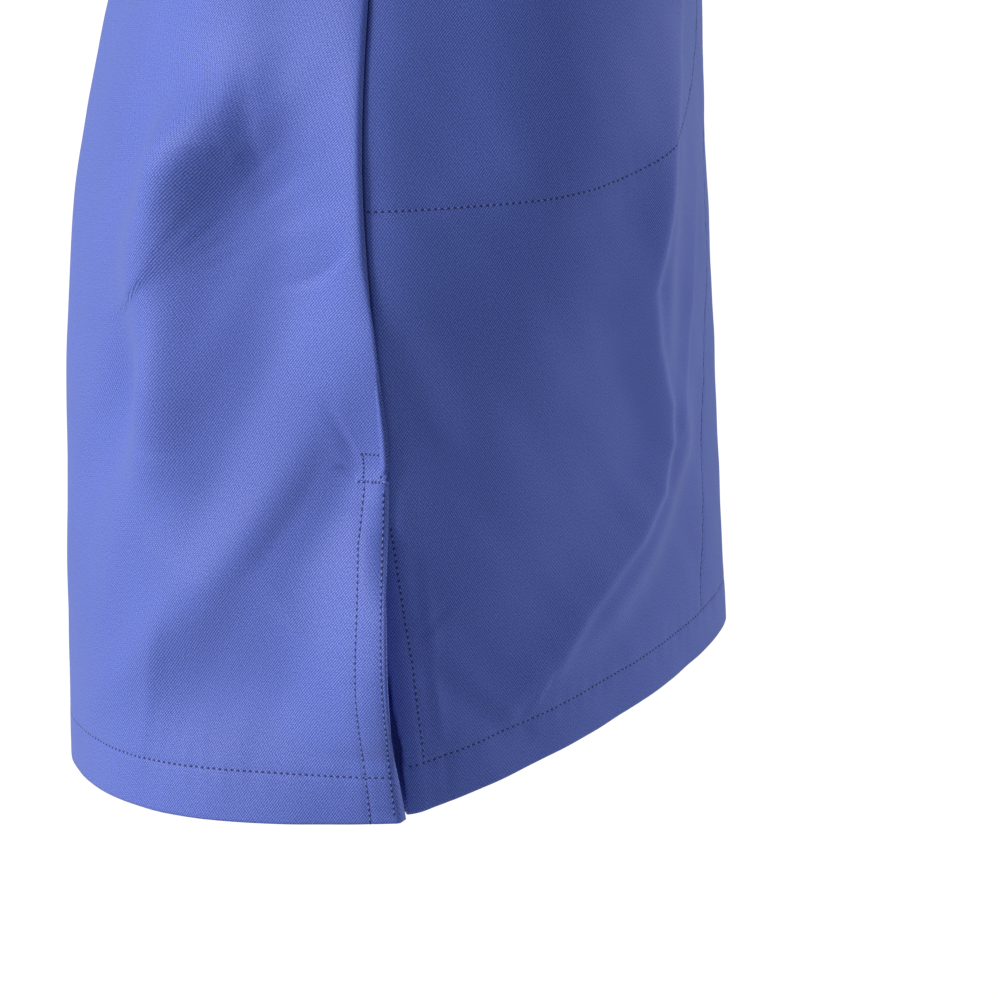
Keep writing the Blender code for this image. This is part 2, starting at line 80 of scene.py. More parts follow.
def two_tones(tree, share, deep, light):
    """The colour of a material, mixed from two by a share."""
    tone = tree.nodes.new("ShaderNodeMix")
    tone.data_type = "RGBA"
    tone.inputs["A"].default_value, tone.inputs["B"].default_value = deep, light
    tree.links.new(share, tone.inputs["Factor"])
    tree.links.new(tone.outputs["Result"], tree.nodes["Principled BSDF"].inputs["Base Color"])


def twill_weave():
    """Share of the light tone and height of a twill, from a UV map in metres."""
    tree = bpy.data.node_groups.new("Twill weave", "ShaderNodeTree")
    tree.interface.new_socket("Cloth", in_out="INPUT", socket_type="NodeSocketVector")
    for name in ("Period", "Angle", "Slub"):
        tree.interface.new_socket(name, in_out="INPUT", socket_type="NodeSocketFloat")
    for name in ("Light", "Height"):
        tree.interface.new_socket(name, in_out="OUTPUT", socket_type="NodeSocketFloat")
    ins, outs = tree.nodes.new("NodeGroupInput"), tree.nodes.new("NodeGroupOutput")
    split = tree.nodes.new("ShaderNodeSeparateXYZ")
    tree.links.new(ins.outputs["Cloth"], split.inputs[0])
    turn = maths(tree, "RADIANS", ins.outputs["Angle"])
    rise, run = maths(tree, "SINE", turn), maths(tree, "COSINE", turn)
    across = maths(tree, "MULTIPLY", split.outputs[0], rise)
    across = maths(tree, "SUBTRACT", across, maths(tree, "MULTIPLY", split.outputs[1], run))
    along = maths(tree, "MULTIPLY", split.outputs[0], run)
    along = maths(tree, "ADD", along, maths(tree, "MULTIPLY", split.outputs[1], rise))
    wobble = noise(tree, ins.outputs["Cloth"], WOBBLE_SCALE, 2.0)
    phase = maths(tree, "DIVIDE", across, ins.outputs["Period"])
    phase = maths(tree, "ADD", phase, maths(tree, "MULTIPLY", wobble, WOBBLE))
    wale = maths(tree, "SINE", maths(tree, "MULTIPLY", phase, 2 * np.pi))
    wale = maths(tree, "MULTIPLY_ADD", wale, 0.5, 0.5)
    step = maths(tree, "DIVIDE", along, ins.outputs["Period"])
    step = maths(tree, "ADD", step, maths(tree, "MULTIPLY", phase, YARN_SHIFT))
    yarn = maths(tree, "SINE", maths(tree, "MULTIPLY", step, 2 * np.pi * YARN_RATE))
    yarn = maths(tree, "MULTIPLY_ADD", yarn, 0.5, 0.5)
    body = maths(tree, "MULTIPLY", wale, maths(tree, "MULTIPLY_ADD", yarn, 0.5, 0.5))
    slub = maths(tree, "SUBTRACT", noise(tree, ins.outputs["Cloth"], SLUB_SCALE, 3.0), 0.5)
    slub = maths(tree, "MULTIPLY", slub, ins.outputs["Slub"])
    tree.links.new(maths(tree, "ADD", body, slub, clamp=True), outs.inputs["Light"])
    tree.links.new(body, outs.inputs["Height"])
    return tree


WEAVE = twill_weave()


def new_material(name):
    """A material with its node tree and its shader's sockets."""
    material = bpy.data.materials.new(name)
    material.use_nodes = True
    return material, material.node_tree, material.node_tree.nodes["Principled BSDF"].inputs


def twill_material(name, deep, light, period=WALE_PERIOD, angle=WALE_ANGLE):
    """Twill: the wales are lighter than the valleys between them, and large soft patches differ in tone."""
    material, tree, shader = new_material(name)
    shader["Specular IOR Level"].default_value = 0.32
    shader["Sheen Weight"].default_value = 0.25
    shader["Sheen Roughness"].default_value = 0.42
    shader["Sheen Tint"].default_value = (0.72, 0.78, 1.0, 1.0)
    cloth = tree.nodes.new("ShaderNodeUVMap")
    cloth.uv_map = "Cloth"
    weave = tree.nodes.new("ShaderNodeGroup")
    weave.node_tree = WEAVE
    for socket, value in (("Period", period), ("Angle", angle), ("Slub", SLUB)):
        weave.inputs[socket].default_value = value
    tree.links.new(cloth.outputs[0], weave.inputs["Cloth"])
    place = tree.nodes.new("ShaderNodeTexCoord")
    patch = noise(tree, place.outputs["Object"], PATCH_SCALE, 3.0)
    share = maths(tree, "MULTIPLY_ADD", patch, PATCH_DEPTH, -PATCH_DEPTH / 2)
    share = maths(tree, "ADD", share, weave.outputs["Light"], clamp=True)
    two_tones(tree, share, deep, light)
    rough = maths(tree, "MULTIPLY_ADD", weave.outputs["Light"], -WALE_POLISH, ROUGHNESS)
    tree.links.new(rough, shader["Roughness"])
    bend = tree.nodes.new("ShaderNodeBump")
    bend.inputs["Distance"].default_value = WEAVE_BUMP
    bend.inputs["Strength"].default_value = 0.6
    tree.links.new(weave.outputs["Height"], bend.inputs["Height"])
    tree.links.new(bend.outputs[0], shader["Normal"])
    return material


TWILL = twill_material("Blue twill", TWILL_DEEP, TWILL_LIGHT)
CLOTH, DOUBLED, TURN_STEP = 0.0012, 0.0021, 0.003
SEAM_GAP, HEM, NECK_HEM, VENT_FACING, FRONT_FACING = 0.0005, 0.020, 0.010, 0.012, 0.052
VENT, FRONT_LAP, LAP_EASE, LAP_GAP = 0.145, 0.0125, 0.010, 0.0002
LAP_DEPTH = DOUBLED + SEAM_GAP + LAP_GAP
SHOULDER_X, SHOULDER_Y, SHOULDER_Z = 0.200, 0.004, -0.046
NECK_X, NECK_Y, FRONT_NECK_Y, FRONT_NECK_Z = 0.080, 0.012, -0.078, -0.092
SHOULDER_SHARE, SHOULDER_LIFT, SHOULDER_PART = 0.56, 0.004, 0.0006
SHOULDER_EASE, SHOULDER_EASE_UP, NECK_DIP = 0.45, -0.80, 1.6
CORNER_REACH, LEVEL_FADE = 0.06, 0.06
TOP_UP, VENT_TOP, UNDERARM = 0.735, 2, 9
FINE = 240  # points on which a curve is measured before it is shared out

Row = namedtuple("Row", "up side_x side_y side_z centre_y centre_z fullness")
# Level curves from the side to the centre. "up" is the height along the cloth above the hem.
FRONT_ROWS = (
    Row(0.000, 0.199, 0.0100, -0.745, -0.1340, -0.714, 1.45),  # hem
    Row(0.055, 0.198, 0.0138, -0.691, -0.1312, -0.665, 1.50),
    Row(0.145, 0.197, 0.0190, -0.600, -0.1268, -0.586, 1.62),  # top of the vent
    Row(0.210, 0.196, 0.0225, -0.535, -0.1238, -0.528, 2.10),
    Row(0.275, 0.192, 0.0262, -0.470, -0.1205, -0.468, 2.70),
    Row(0.340, 0.183, 0.0240, -0.405, -0.1195, -0.405, 2.60),
    Row(0.395, 0.176, 0.0190, -0.350, -0.1205, -0.350, 2.40),  # waist
    Row(0.440, 0.178, 0.0120, -0.305, -0.1240, -0.305, 2.30),
    Row(0.485, 0.185, 0.0060, -0.260, -0.1300, -0.260, 2.30),
    Row(0.530, 0.190, 0.0020, -0.215, -0.1280, -0.215, 2.30),  # underarm
    Row(0.570, 0.177, -0.0400, -0.177, -0.1210, -0.182, 2.20),
    Row(0.612, 0.170, -0.0540, -0.135, -0.1090, -0.150, 2.10),
    Row(0.660, 0.177, -0.0420, -0.090, -0.0945, -0.120, 2.10),
)
Fold = namedtuple("Fold", "across0 up0 across1 up1 across2 up2 width height")
Crease = namedtuple("Crease", "path width height lean")
# A fold runs along a curve from its first point to its last, drawn towards the middle one, and a crease along
# a path. A point is the distance round the body from the side seam and the height along the cloth. A negative
# height is a trough, and lean makes a crease broad on one side and sharp on the other.
RIDGE_LEAN = -0.48  # the long front creases rise slowly from the side and fall steeply towards the centre
RIGHT_FRONT_FOLDS = (
    Fold(0.162, 0.290, 0.138, 0.190, 0.188, 0.115, 0.014, 0.0044),
    Fold(0.194, 0.150, 0.178, 0.070, 0.078, 0.042, 0.014, 0.0046),
    Fold(0.006, 0.215, 0.016, 0.180, 0.040, 0.135, 0.012, -0.0022),
    Fold(0.012, 0.080, 0.035, 0.055, 0.068, 0.010, 0.015, -0.0030),
    Fold(0.040, 0.420, 0.080, 0.400, 0.130, 0.430, 0.016, -0.0030),
)
RIGHT_FRONT_CREASES = (
    Crease(((0.0175, 0.028), (0.0195, 0.0225), (0.02, 0.009), (0.02, 0.0)), 0.0014, -0.0006, 0.3),
    Crease(((0.015, 0.11), (0.0172, 0.06), (0.019, 0.026)), 0.0026, 0.0009, 0.3),
    Crease(((0.164, 0.33), (0.153, 0.285), (0.149, 0.26), (0.14, 0.205), (0.148, 0.175), (0.164, 0.14),
            (0.166, 0.122), (0.157, 0.1015), (0.138, 0.0845), (0.117, 0.0725), (0.1, 0.0615), (0.089, 0.051),
            (0.082, 0.042)), 0.0128, 0.005, RIDGE_LEAN),
    Crease(((0.199, 0.235), (0.197, 0.205), (0.195, 0.1925), (0.192, 0.16), (0.181, 0.126)),
           0.008, 0.0018, RIDGE_LEAN),
    Crease(((0.0087, 0.2), (0.016, 0.182), (0.0254, 0.165), (0.034, 0.15)), 0.006, -0.001, 0.3),
    Crease(((0.0145, 0.078), (0.0166, 0.075), (0.035, 0.0525), (0.0547, 0.03), (0.06, 0.024)),
           0.01, 0.0026, 0.45),
    Crease(((0.04, 0.246), (0.08, 0.238), (0.126, 0.248)), 0.01, -0.0008, 0),
    Crease(((0.06, 0.205), (0.085, 0.165), (0.132, 0.138)), 0.012, 0.0008, 0),
    Crease(((0.04, 0.12), (0.07, 0.105), (0.105, 0.1)), 0.01, -0.0007, 0),
    Crease(((0.12, 0.33), (0.14, 0.345), (0.17, 0.335)), 0.009, 0.001, 0.4),
    Crease(((0.02, 0.38), (0.06, 0.372), (0.09, 0.385)), 0.008, 0.0012, 0.3),
    Crease(((0.045, 0.52), (0.09, 0.5), (0.12, 0.46)), 0.012, -0.002, 0.3),
    Crease(((0.02, 0.545), (0.08, 0.56), (0.12, 0.6)), 0.01, 0.0018, 0.3),
)
LEFT_FRONT_FOLDS = (
    Fold(0.154, 0.310, 0.134, 0.205, 0.176, 0.130, 0.015, 0.0042),
    Fold(0.188, 0.165, 0.170, 0.080, 0.088, 0.036, 0.015, 0.0046),
    Fold(0.008, 0.240, 0.020, 0.190, 0.050, 0.120, 0.014, -0.0026),
    Fold(0.020, 0.100, 0.040, 0.060, 0.060, 0.015, 0.016, -0.0030),
    Fold(0.030, 0.450, 0.080, 0.410, 0.140, 0.420, 0.017, -0.0034),
)
LEFT_FRONT_CREASES = (
    Crease(((0.172, 0.345), (0.16, 0.3), (0.156, 0.27), (0.143, 0.22), (0.156, 0.18), (0.176, 0.14),
            (0.176, 0.12), (0.162, 0.098), (0.138, 0.08), (0.112, 0.066), (0.092, 0.048)),
           0.012, 0.0029, RIDGE_LEAN),
    Crease(((0.196, 0.25), (0.194, 0.21), (0.19, 0.165), (0.18, 0.135)), 0.008, 0.0017, RIDGE_LEAN),
    Crease(((0.012, 0.215), (0.022, 0.185), (0.04, 0.15)), 0.006, -0.0012, 0.3),
    Crease(((0.024, 0.09), (0.042, 0.06), (0.056, 0.026)), 0.007, -0.0016, 0.3),
    Crease(((0.05, 0.24), (0.08, 0.23), (0.11, 0.24)), 0.01, -0.0008, 0),
    Crease(((0.07, 0.19), (0.09, 0.15), (0.12, 0.12)), 0.011, 0.0008, 0),
    Crease(((0.03, 0.4), (0.06, 0.39), (0.11, 0.395)), 0.009, 0.0012, 0.3),
    Crease(((0.05, 0.51), (0.08, 0.49), (0.13, 0.47)), 0.012, -0.0018, 0.3),
    Crease(((0.02, 0.55), (0.07, 0.57), (0.11, 0.61)), 0.01, 0.0017, 0.3),
)
FOLD_END, FOLD_FADE, FOLD_STEPS, CALM_CENTRE = 0.06, 0.7, 14, 0.12
STAND_HEIGHT, STAND_WIDTH, HOLD_WIDTH, HOLD_FROM = 0.008, 0.028, 0.007, 0.085
STAND_FROM, STAND_FULL, STAND_FADE, STAND_TO = 0.145, 0.210, 0.300, 0.420


def distances(curve):
    """How far along a curve each of its points lies."""
    return np.concatenate([[0.0], np.cumsum(np.linalg.norm(np.diff(curve, axis=0), axis=1))])


def between(place, places, points):
    """x, y and z part of the way along a row of points that lie at these places."""
    return [np.interp(place, places, points[:, k]) for k in range(3)]


def share_out(curve, shares):
    """Points on a curve at the given shares of its length."""
    along = distances(curve)
    return np.stack(between(shares * along[-1], along, curve), axis=1)


def level_curve(row, shares):
    """The right half of one level of the body, from the side to the centre."""
    turn = np.linspace(0.0, np.pi / 2, FINE)
    out = np.abs(np.cos(turn)) ** (2 / row.fullness)
    out[-1] = 0.0
    forth = np.abs(np.sin(turn)) ** (2 / row.fullness)
    y = row.side_y + (row.centre_y - row.side_y) * forth
    z = row.side_z + (row.centre_z - row.side_z) * forth
    return share_out(np.stack([-row.side_x * out, y, z], axis=1), shares)


def top_curve(neck_y, neck_z, shares):
    """The shoulder seam from its outer end to the neck, then the neckline to the centre."""
    along = np.linspace(0.0, 1.0, FINE)[:, None]
    apart = np.sign(neck_y) * SHOULDER_PART
    outer, inner = np.array([-SHOULDER_X, SHOULDER_Y, SHOULDER_Z]), np.array([-NECK_X, NECK_Y, 0.0])
    seam = outer + (inner - outer) * along
    seam[:, 1] += apart
    seam[:, 2] += SHOULDER_LIFT * np.sin(np.pi * along[:, 0])
    turn = along[:, 0] * np.pi / 2
    y = NECK_Y + apart + (neck_y - NECK_Y - apart) * np.sin(turn)
    neckline = np.stack([-NECK_X * np.cos(turn), y, neck_z * np.sin(turn) ** NECK_DIP], axis=1)
    on_seam = share_out(seam, np.clip(shares / SHOULDER_SHARE, 0, 1))
    on_neck = share_out(neckline, np.clip((shares - SHOULDER_SHARE) / (1 - SHOULDER_SHARE), 0, 1))
    return np.where((shares < SHOULDER_SHARE)[:, None], on_seam, on_neck)


def through_rows(curves, knots, ups, corner, level):
    """A smooth surface through the curves, with a corner at the underarm, and level at the shoulder seam."""
    gaps = np.diff(knots)[:, None, None]
    slopes = np.diff(curves, axis=0) / gaps
    middle = (slopes[1:] * gaps[:-1] + slopes[:-1] * gaps[1:]) / (gaps[1:] + gaps[:-1])
    start, end = np.concatenate([slopes[:1], middle]), np.concatenate([middle, slopes[-1:]])
    start[UNDERARM] += (slopes[UNDERARM] - start[UNDERARM]) * corner[:, None]
    end[UNDERARM - 1] += (slopes[UNDERARM - 1] - end[UNDERARM - 1]) * corner[:, None]
    end[-1] += end[-1] * level[:, None] * np.array([0.0, SHOULDER_EASE, SHOULDER_EASE_UP])
    place = np.clip(np.searchsorted(knots, ups, side="right") - 1, 0, len(knots) - 2)
    span = gaps[place]
    t = (ups - knots[place])[:, None, None] / span
    ease = t * t * (3 - 2 * t)
    bend = start[place] * t * (1 - t) ** 2 + end[place] * t * t * (t - 1)
    return curves[place] * (1 - ease) + curves[place + 1] * ease + span * bend


def length_of(row):
    """How far one level of a panel runs from the side to the centre."""
    curve = level_curve(row, np.linspace(0, 1, FINE))
    return np.linalg.norm(np.diff(curve, axis=0), axis=1).sum()


def girth_at(rows, ups):
    """How far a panel runs from the side to the centre at these heights."""
    return np.interp(ups, [row.up for row in rows], [length_of(row) for row in rows])


def fading(away, width):
    """1 on a line and less and less away from it, with next to nothing beyond twice the width."""
    return np.exp(-((away / width) ** 2))


def half_body(rows, neck_y, neck_z, shares, ups):
    """Points of the right half of the front or back, and how far round each one lies from the side."""
    knots = np.array([row.up for row in rows] + [TOP_UP])
    curves = [level_curve(row, shares) for row in rows]
    curves.append(top_curve(neck_y, neck_z, shares))
    corner = fading(shares, CORNER_REACH)
    level = np.clip((SHOULDER_SHARE + LEVEL_FADE - shares) / (2 * LEVEL_FADE), 0, 1)
    points = through_rows(np.array(curves), knots, ups, corner, level)
    return points, girth_at(rows, ups)[:, None] * shares[None, :]


def nearest_on(path, across, up):
    """Distance from each point to a flat path, its sign by side, and the share of the path there."""
    best = np.full(across.shape, np.inf)
    side, place = np.ones(across.shape), np.zeros(across.shape)
    for k, ((x0, y0), (x1, y1)) in enumerate(zip(path[:-1], path[1:])):
        dx, dy = x1 - x0, y1 - y0
        t = np.clip(((across - x0) * dx + (up - y0) * dy) / (dx * dx + dy * dy), 0, 1)
        away = np.hypot(across - x0 - t * dx, up - y0 - t * dy)
        nearer = away < best
        best = np.where(nearer, away, best)
        place = np.where(nearer, (k + t) / (len(path) - 1), place)
        side = np.where(nearer, np.sign((up - y0) * dx - (across - x0) * dy), side)
    return best, side, place


def folds_at(folds, round_body, up):
    """How far the folds and creases push the cloth out at each point."""
    along = np.linspace(0.0, 1.0, FOLD_STEPS + 1)[:, None]
    push = np.zeros_like(round_body)
    for fold in folds:
        line, lean = getattr(fold, "path", None), getattr(fold, "lean", 0.0)
        if line is None:
            first, middle, last = (np.array(p) for p in (fold[0:2], fold[2:4], fold[4:6]))
            line = (1 - along) ** 2 * first + 2 * along * (1 - along) * middle + along**2 * last
        away, side, place = nearest_on(line, round_body, up)
        fade = np.sin(np.pi * (FOLD_END + (1 - 2 * FOLD_END) * place)) ** FOLD_FADE
        push += fold.height * fade * fading(away, fold.width * (1 + lean * side))
    return push


def smooth(place, start, end):
    """0 at the start, 1 at the end, and eased between them."""
    share = np.clip((place - start) / (end - start), 0, 1)
    return share * share * (3 - 2 * share)


def held_at(round_body, up):
    """The share of a fold that is left beside the side seam, where the other panel holds the edge."""
    return 1 - fading(round_body, HOLD_WIDTH) * smooth(up, HOLD_FROM, VENT)


def stand_at(round_body, up):
    """How far both panels stand out beside the side seam, between the vent and the waist."""
    rise = STAND_HEIGHT * fading(round_body, STAND_WIDTH)
    return rise * smooth(up, STAND_FROM, STAND_FULL) * smooth(up, STAND_TO, STAND_FADE)


def outward(points, sign):
    """Unit normals of a grid of points, turned away from the body by the sign."""
    normal = np.cross(np.gradient(points, axis=0), np.gradient(points, axis=1)) * sign
    return normal / np.linalg.norm(normal, axis=2, keepdims=True)


def front_half(shares, ups, folds):
    """The right front, as points and outward normals. Shares past 1 lie beyond the centre."""
    near = np.where(shares > 1, 2 - shares, shares)
    points, round_body = half_body(FRONT_ROWS, FRONT_NECK_Y, FRONT_NECK_Z, near, ups)
    points[:, shares > 1, 0] *= -1
    normal = outward(points, -1)
    up = np.broadcast_to(ups[:, None], round_body.shape)
    calm = np.clip((1 - near) / CALM_CENTRE, 0, 1)
    push = folds_at(folds, round_body, up) * calm * held_at(round_body, up) + stand_at(round_body, up)
    return points + normal * push[..., None], normal


def thinning(distance, width):
    """1 on a turned edge of that width, 0 beyond it."""
    return np.clip((width + TURN_STEP - distance) / TURN_STEP, 0, 1)


# The cloth is never quite flat: it has low swells (rate round, rate up, phase, height), and small puckers
# that the thread draws up beside stitched lines.
SWELLS = (
    (62.0, 24.0, 0.4, 0.00028), (34.0, 82.0, 2.1, 0.00030), (126.0, 76.0, 4.0, 0.00014),
    (104.0, 180.0, 1.2, 0.00010),
)
PUCKER, PUCKER_WAVE, PUCKER_REACH = 0.00010, 0.0117, 0.008
PUCKER_SHIFT, PUCKER_SHIFT_RATE = 2.3, 71
GROOVE, GROOVE_WIDTH = 0.00030, 0.0012


def cloth_relief(across, up, lines, seed):
    """How far swells, puckers and the grooves under stitched lines move the cloth out or in."""
    push = np.zeros_like(across)
    for round_rate, up_rate, phase, height in SWELLS:
        swell = np.sin(round_rate * across + up_rate * up + phase + seed)
        push += height * swell * np.cos(up_rate * across - seed)
    for line in lines:
        away, _, place = nearest_on(line, across, up)
        run = place * sum(np.hypot(x1 - x0, y1 - y0) for (x0, y0), (x1, y1) in zip(line[:-1], line[1:]))
        wave = np.sin(2 * np.pi * run / PUCKER_WAVE + PUCKER_SHIFT * np.sin(run * PUCKER_SHIFT_RATE + seed))
        push += PUCKER * wave * fading(away, PUCKER_REACH)
        push -= GROOVE * fading(away, GROOVE_WIDTH)
    return push


def grid_lines(runs):
    """Places of grid lines, from runs of (start, end, spacing)."""
    places = [np.linspace(start, end, round((end - start) / step) + 1) for start, end, step in runs]
    return np.unique(np.round(np.concatenate(places), 6))


def finished(name, shape, *materials):
    """A shape made into a smooth mesh object of the scene."""
    mesh = bpy.data.meshes.new(name)
    shape.to_mesh(mesh)
    shape.free()
    mesh.shade_smooth()
    for material in materials:
        mesh.materials.append(material)
    piece = bpy.data.objects.new(name, mesh)
    bpy.context.scene.collection.objects.link(piece)
    return piece


def cloth_object(name, points, cloth_map, doubled, material, thick=DOUBLED, thin=CLOTH, ring=False):
    """A wall of cloth with these outer points, laid out by a UV map in metres and thickened inwards."""
    rows, columns = points.shape[:2]
    shell = bmesh.new()
    layout = shell.loops.layers.uv.new("Cloth")
    weights = shell.verts.layers.deform.verify()
    bmesh.ops.create_grid(shell, x_segments=columns - 1, y_segments=rows - 1, size=1.0)
    for vertex, point, weight in zip(shell.verts, points.reshape(-1, 3), doubled.ravel()):
        vertex.co = point
        vertex[weights][0] = float(weight)
    places = cloth_map.reshape(-1, 2)
    for face in shell.faces:
        for loop in face.loops:
            loop[layout].uv = places[loop.vert.index]
    if ring:
        bmesh.ops.remove_doubles(shell, verts=shell.verts[:], dist=1e-6)
    piece = finished(name, shell, material)
    group = piece.vertex_groups.new(name="doubled")
    wall = piece.modifiers.new("Wall", "SOLIDIFY")
    wall.thickness, wall.offset = thick, -1.0
    wall.vertex_group, wall.thickness_vertex_group = group.name, thin / thick
    return piece


Cloth = namedtuple("Cloth", "shares ups points rows side")  # side is -1 where the panel is seen mirrored


def on_cloth(cloth, path):
    """Points and outward normals on a panel at (distance round, height) places."""
    normal = outward(cloth.points, -1 if cloth.rows is FRONT_ROWS else 1)
    path = np.asarray(path)
    share = path[:, 0] / girth_at(cloth.rows, path[:, 1])
    column = np.interp(share, cloth.shares, np.arange(len(cloth.shares)))
    row = np.interp(path[:, 1], cloth.ups, np.arange(len(cloth.ups)))
    c = np.minimum(column.astype(int), len(cloth.shares) - 2)
    r = np.minimum(row.astype(int), len(cloth.ups) - 2)
    fc, fr = (column - c)[:, None], (row - r)[:, None]
    found = []
    for field in (cloth.points, normal):
        low = field[r, c] * (1 - fc) + field[r, c + 1] * fc
        high = field[r + 1, c] * (1 - fc) + field[r + 1, c + 1] * fc
        found.append((low * (1 - fr) + high * fr) * np.array([cloth.side, 1.0, 1.0]))
    return found


THREAD_WIDE, THREAD_HIGH, THREAD_OUT = 0.00024, 0.00020, 0.00006
# Each needle hole is drawn as a flat near-black dot of painted shade, standing for the shadow where the
# thread goes down into the cloth.
HOLE_LONG, HOLE_WIDE, HOLE_DEEP, HOLE_OUT = 0.00100, 0.00050, 0.00007, 0.00001
STITCH, STITCH_SHOWN, LINE_STEP = 0.0028, 0.62, 0.0007
THREAD_GRAIN, GRAIN_TONES = 2500.0, (0.75, 1.25)


def plain_material(name, colour, roughness):
    """A plain material with a fine grain, between a darker and a lighter tone, for dyed thread and for
    painted shade.
    """
    material, tree, shader = new_material(name)
    shader["Roughness"].default_value = roughness
    place = tree.nodes.new("ShaderNodeTexCoord")
    grain = noise(tree, place.outputs["Object"], THREAD_GRAIN, 2.0)
    two_tones(tree, grain, *([tone * part for part in colour] + [1.0] for tone in GRAIN_TONES))
    return material


THREAD = plain_material("Blue thread", (0.150, 0.200, 0.640), 0.5)
# The needle-hole colour is painted shade: the near-black navy of the shadow where the thread sinks into the
# cloth, not a colour of the cloth itself.
HOLE_SHADE = plain_material("Painted needle-hole shade", (0.020, 0.032, 0.140), 0.9)


def round_shape(name, rings, slot_index):
    """A unit ball to be scaled into a thread or a dot of painted needle-hole shade, with its own points kept
    beside it.
    """
    ball = bmesh.new()
    bmesh.ops.create_uvsphere(ball, u_segments=8, v_segments=rings, radius=1.0)
    for face in ball.faces:
        face.material_index = slot_index
    mesh = bpy.data.meshes.new(name)
    ball.to_mesh(mesh)
    ball.free()
    return mesh, np.array([(*vertex.co, 1.0) for vertex in mesh.vertices])


THREAD_SHAPE, SHADE_DOT_SHAPE = round_shape("thread shape", 6, 0), round_shape("needle-hole shade dot", 4, 1)


def add_copy(seam, shape, place):
    """Put one thread or needle hole into a seam."""
    mesh, own = shape
    mesh.vertices.foreach_set("co", (own @ np.array(place).T)[:, :3].astype(np.float32).ravel())
    seam.from_mesh(mesh)


def run_stitches(seam, points, normals, pitch=STITCH):
    """A row of lockstitches along these points. Each thread lies in a dent, and a dark dot of painted shade
    marks the needle hole where it goes down.
    """
    run = distances(points)
    count = round(run[-1] / pitch)
    pitch = run[-1] / count

    def at(distance):
        return Vector(between(distance, run, points)), Vector(between(distance, run, normals)).normalized()

    for k in range(count):
        first, _ = at((k + 0.5 - STITCH_SHOWN / 2) * pitch)
        last, _ = at((k + 0.5 + STITCH_SHOWN / 2) * pitch)
        middle, out = at((k + 0.5) * pitch)
        along = (last - first).normalized()
        turn = Matrix((along, out.cross(along).normalized(), out)).transposed().to_4x4()
        size = Matrix.Diagonal(((last - first).length / 2, THREAD_WIDE, THREAD_HIGH, 1.0))
        add_copy(seam, THREAD_SHAPE, Matrix.Translation(middle + out * THREAD_OUT) @ turn @ size)
        hole_at, out = at(k * pitch)
        size = Matrix.Diagonal((HOLE_LONG, HOLE_WIDE, HOLE_DEEP, 1.0))
        add_copy(seam, SHADE_DOT_SHAPE, Matrix.Translation(hole_at + out * HOLE_OUT) @ turn @ size)


def add_stitches(seam, cloth, path, pitch=STITCH):
    """Lockstitches along a path of (distance round, height) places on a panel."""
    path = np.asarray(path, dtype=float)
    steps = np.concatenate([[0.0], np.cumsum(np.hypot(*np.diff(path, axis=0).T))])
    fine = np.linspace(0.0, steps[-1], int(steps[-1] / LINE_STEP))
    places = np.stack([np.interp(fine, steps, path[:, k]) for k in (0, 1)], axis=1)
    run_stitches(seam, *on_cloth(cloth, places), pitch)


def finish_stitches(name, seam):
    """The stitches of one piece as one object, in thread with dots of painted shade at the needle holes."""
    stitches = finished(name, seam, THREAD, HOLE_SHADE)
    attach(stitches, "root")
    return stitches


GIRTH = length_of(FRONT_ROWS[VENT_TOP])
FRONT_EDGE = 1 + FRONT_LAP / GIRTH
HEM_LINE = 0.0212
BAG_REACH, BAG_BOTTOM, BAG_CORNER_FROM, BAG_CORNER_RISE, BAG_CORNER_POWER = 0.205, 0.254, 0.070, 0.075, 2.2
BAG_LINE_FROM, BAG_LINE_TO, BAG_LINE_UP = 0.003, 0.199, 0.006


def lower_edge(reach, climb):
    """A line that far above a pocket bag's edge: level at first, then curving up to the bag's front edge."""
    turn = np.clip((reach - BAG_CORNER_FROM) / (BAG_REACH - BAG_CORNER_FROM), 0, 1)
    curve = 1 - (1 - turn**BAG_CORNER_POWER) ** (1 / BAG_CORNER_POWER)
    return BAG_BOTTOM + climb + BAG_CORNER_RISE * curve


def turned_edges(shares, up):
    """1 where the hem, the vent's edge and the neckline are turned to double cloth, 0 beyond them."""
    vent = thinning(shares[None, :] * GIRTH, VENT_FACING) * (up < VENT)
    neck = thinning(TOP_UP - up, NECK_HEM) * (shares[None, :] >= SHOULDER_SHARE)
    return np.maximum(thinning(up, HEM), np.maximum(vent, neck))


bag_reach = np.concatenate([[BAG_LINE_FROM], np.linspace(BAG_CORNER_FROM, BAG_LINE_TO, 12)])
BAG_LINE = [*zip(bag_reach, lower_edge(bag_reach, BAG_LINE_UP)), (BAG_LINE_TO, 0.360), (0.196, 0.437)]
RIGHT_FACING_LINE = (
    (0.2085, HEM_LINE), (0.2085, 0.0325), (0.2164, 0.075), (0.2194, 0.12), (0.234, 0.1825), (0.229, 0.2375),
    (0.23, 0.26), (0.229, 0.34), (0.224, 0.44), (0.218, 0.53), (0.196, 0.66),
)
LEFT_FACING_LINE = (
    (0.21, HEM_LINE), (0.215, 0.075), (0.221, 0.12), (0.231, 0.1825), (0.232, 0.2375), (0.23, 0.34),
    (0.225, 0.44), (0.219, 0.53), (0.197, 0.66),
)
FRONT_HEM_LINE = ((0.0055, HEM_LINE), (0.2680, HEM_LINE))
FRONT_VENT_LINE = ((0.0103, HEM_LINE), (0.0096, 0.0375), (0.0088, 0.065), (0.0064, 0.095), (0.0034, 0.1275))
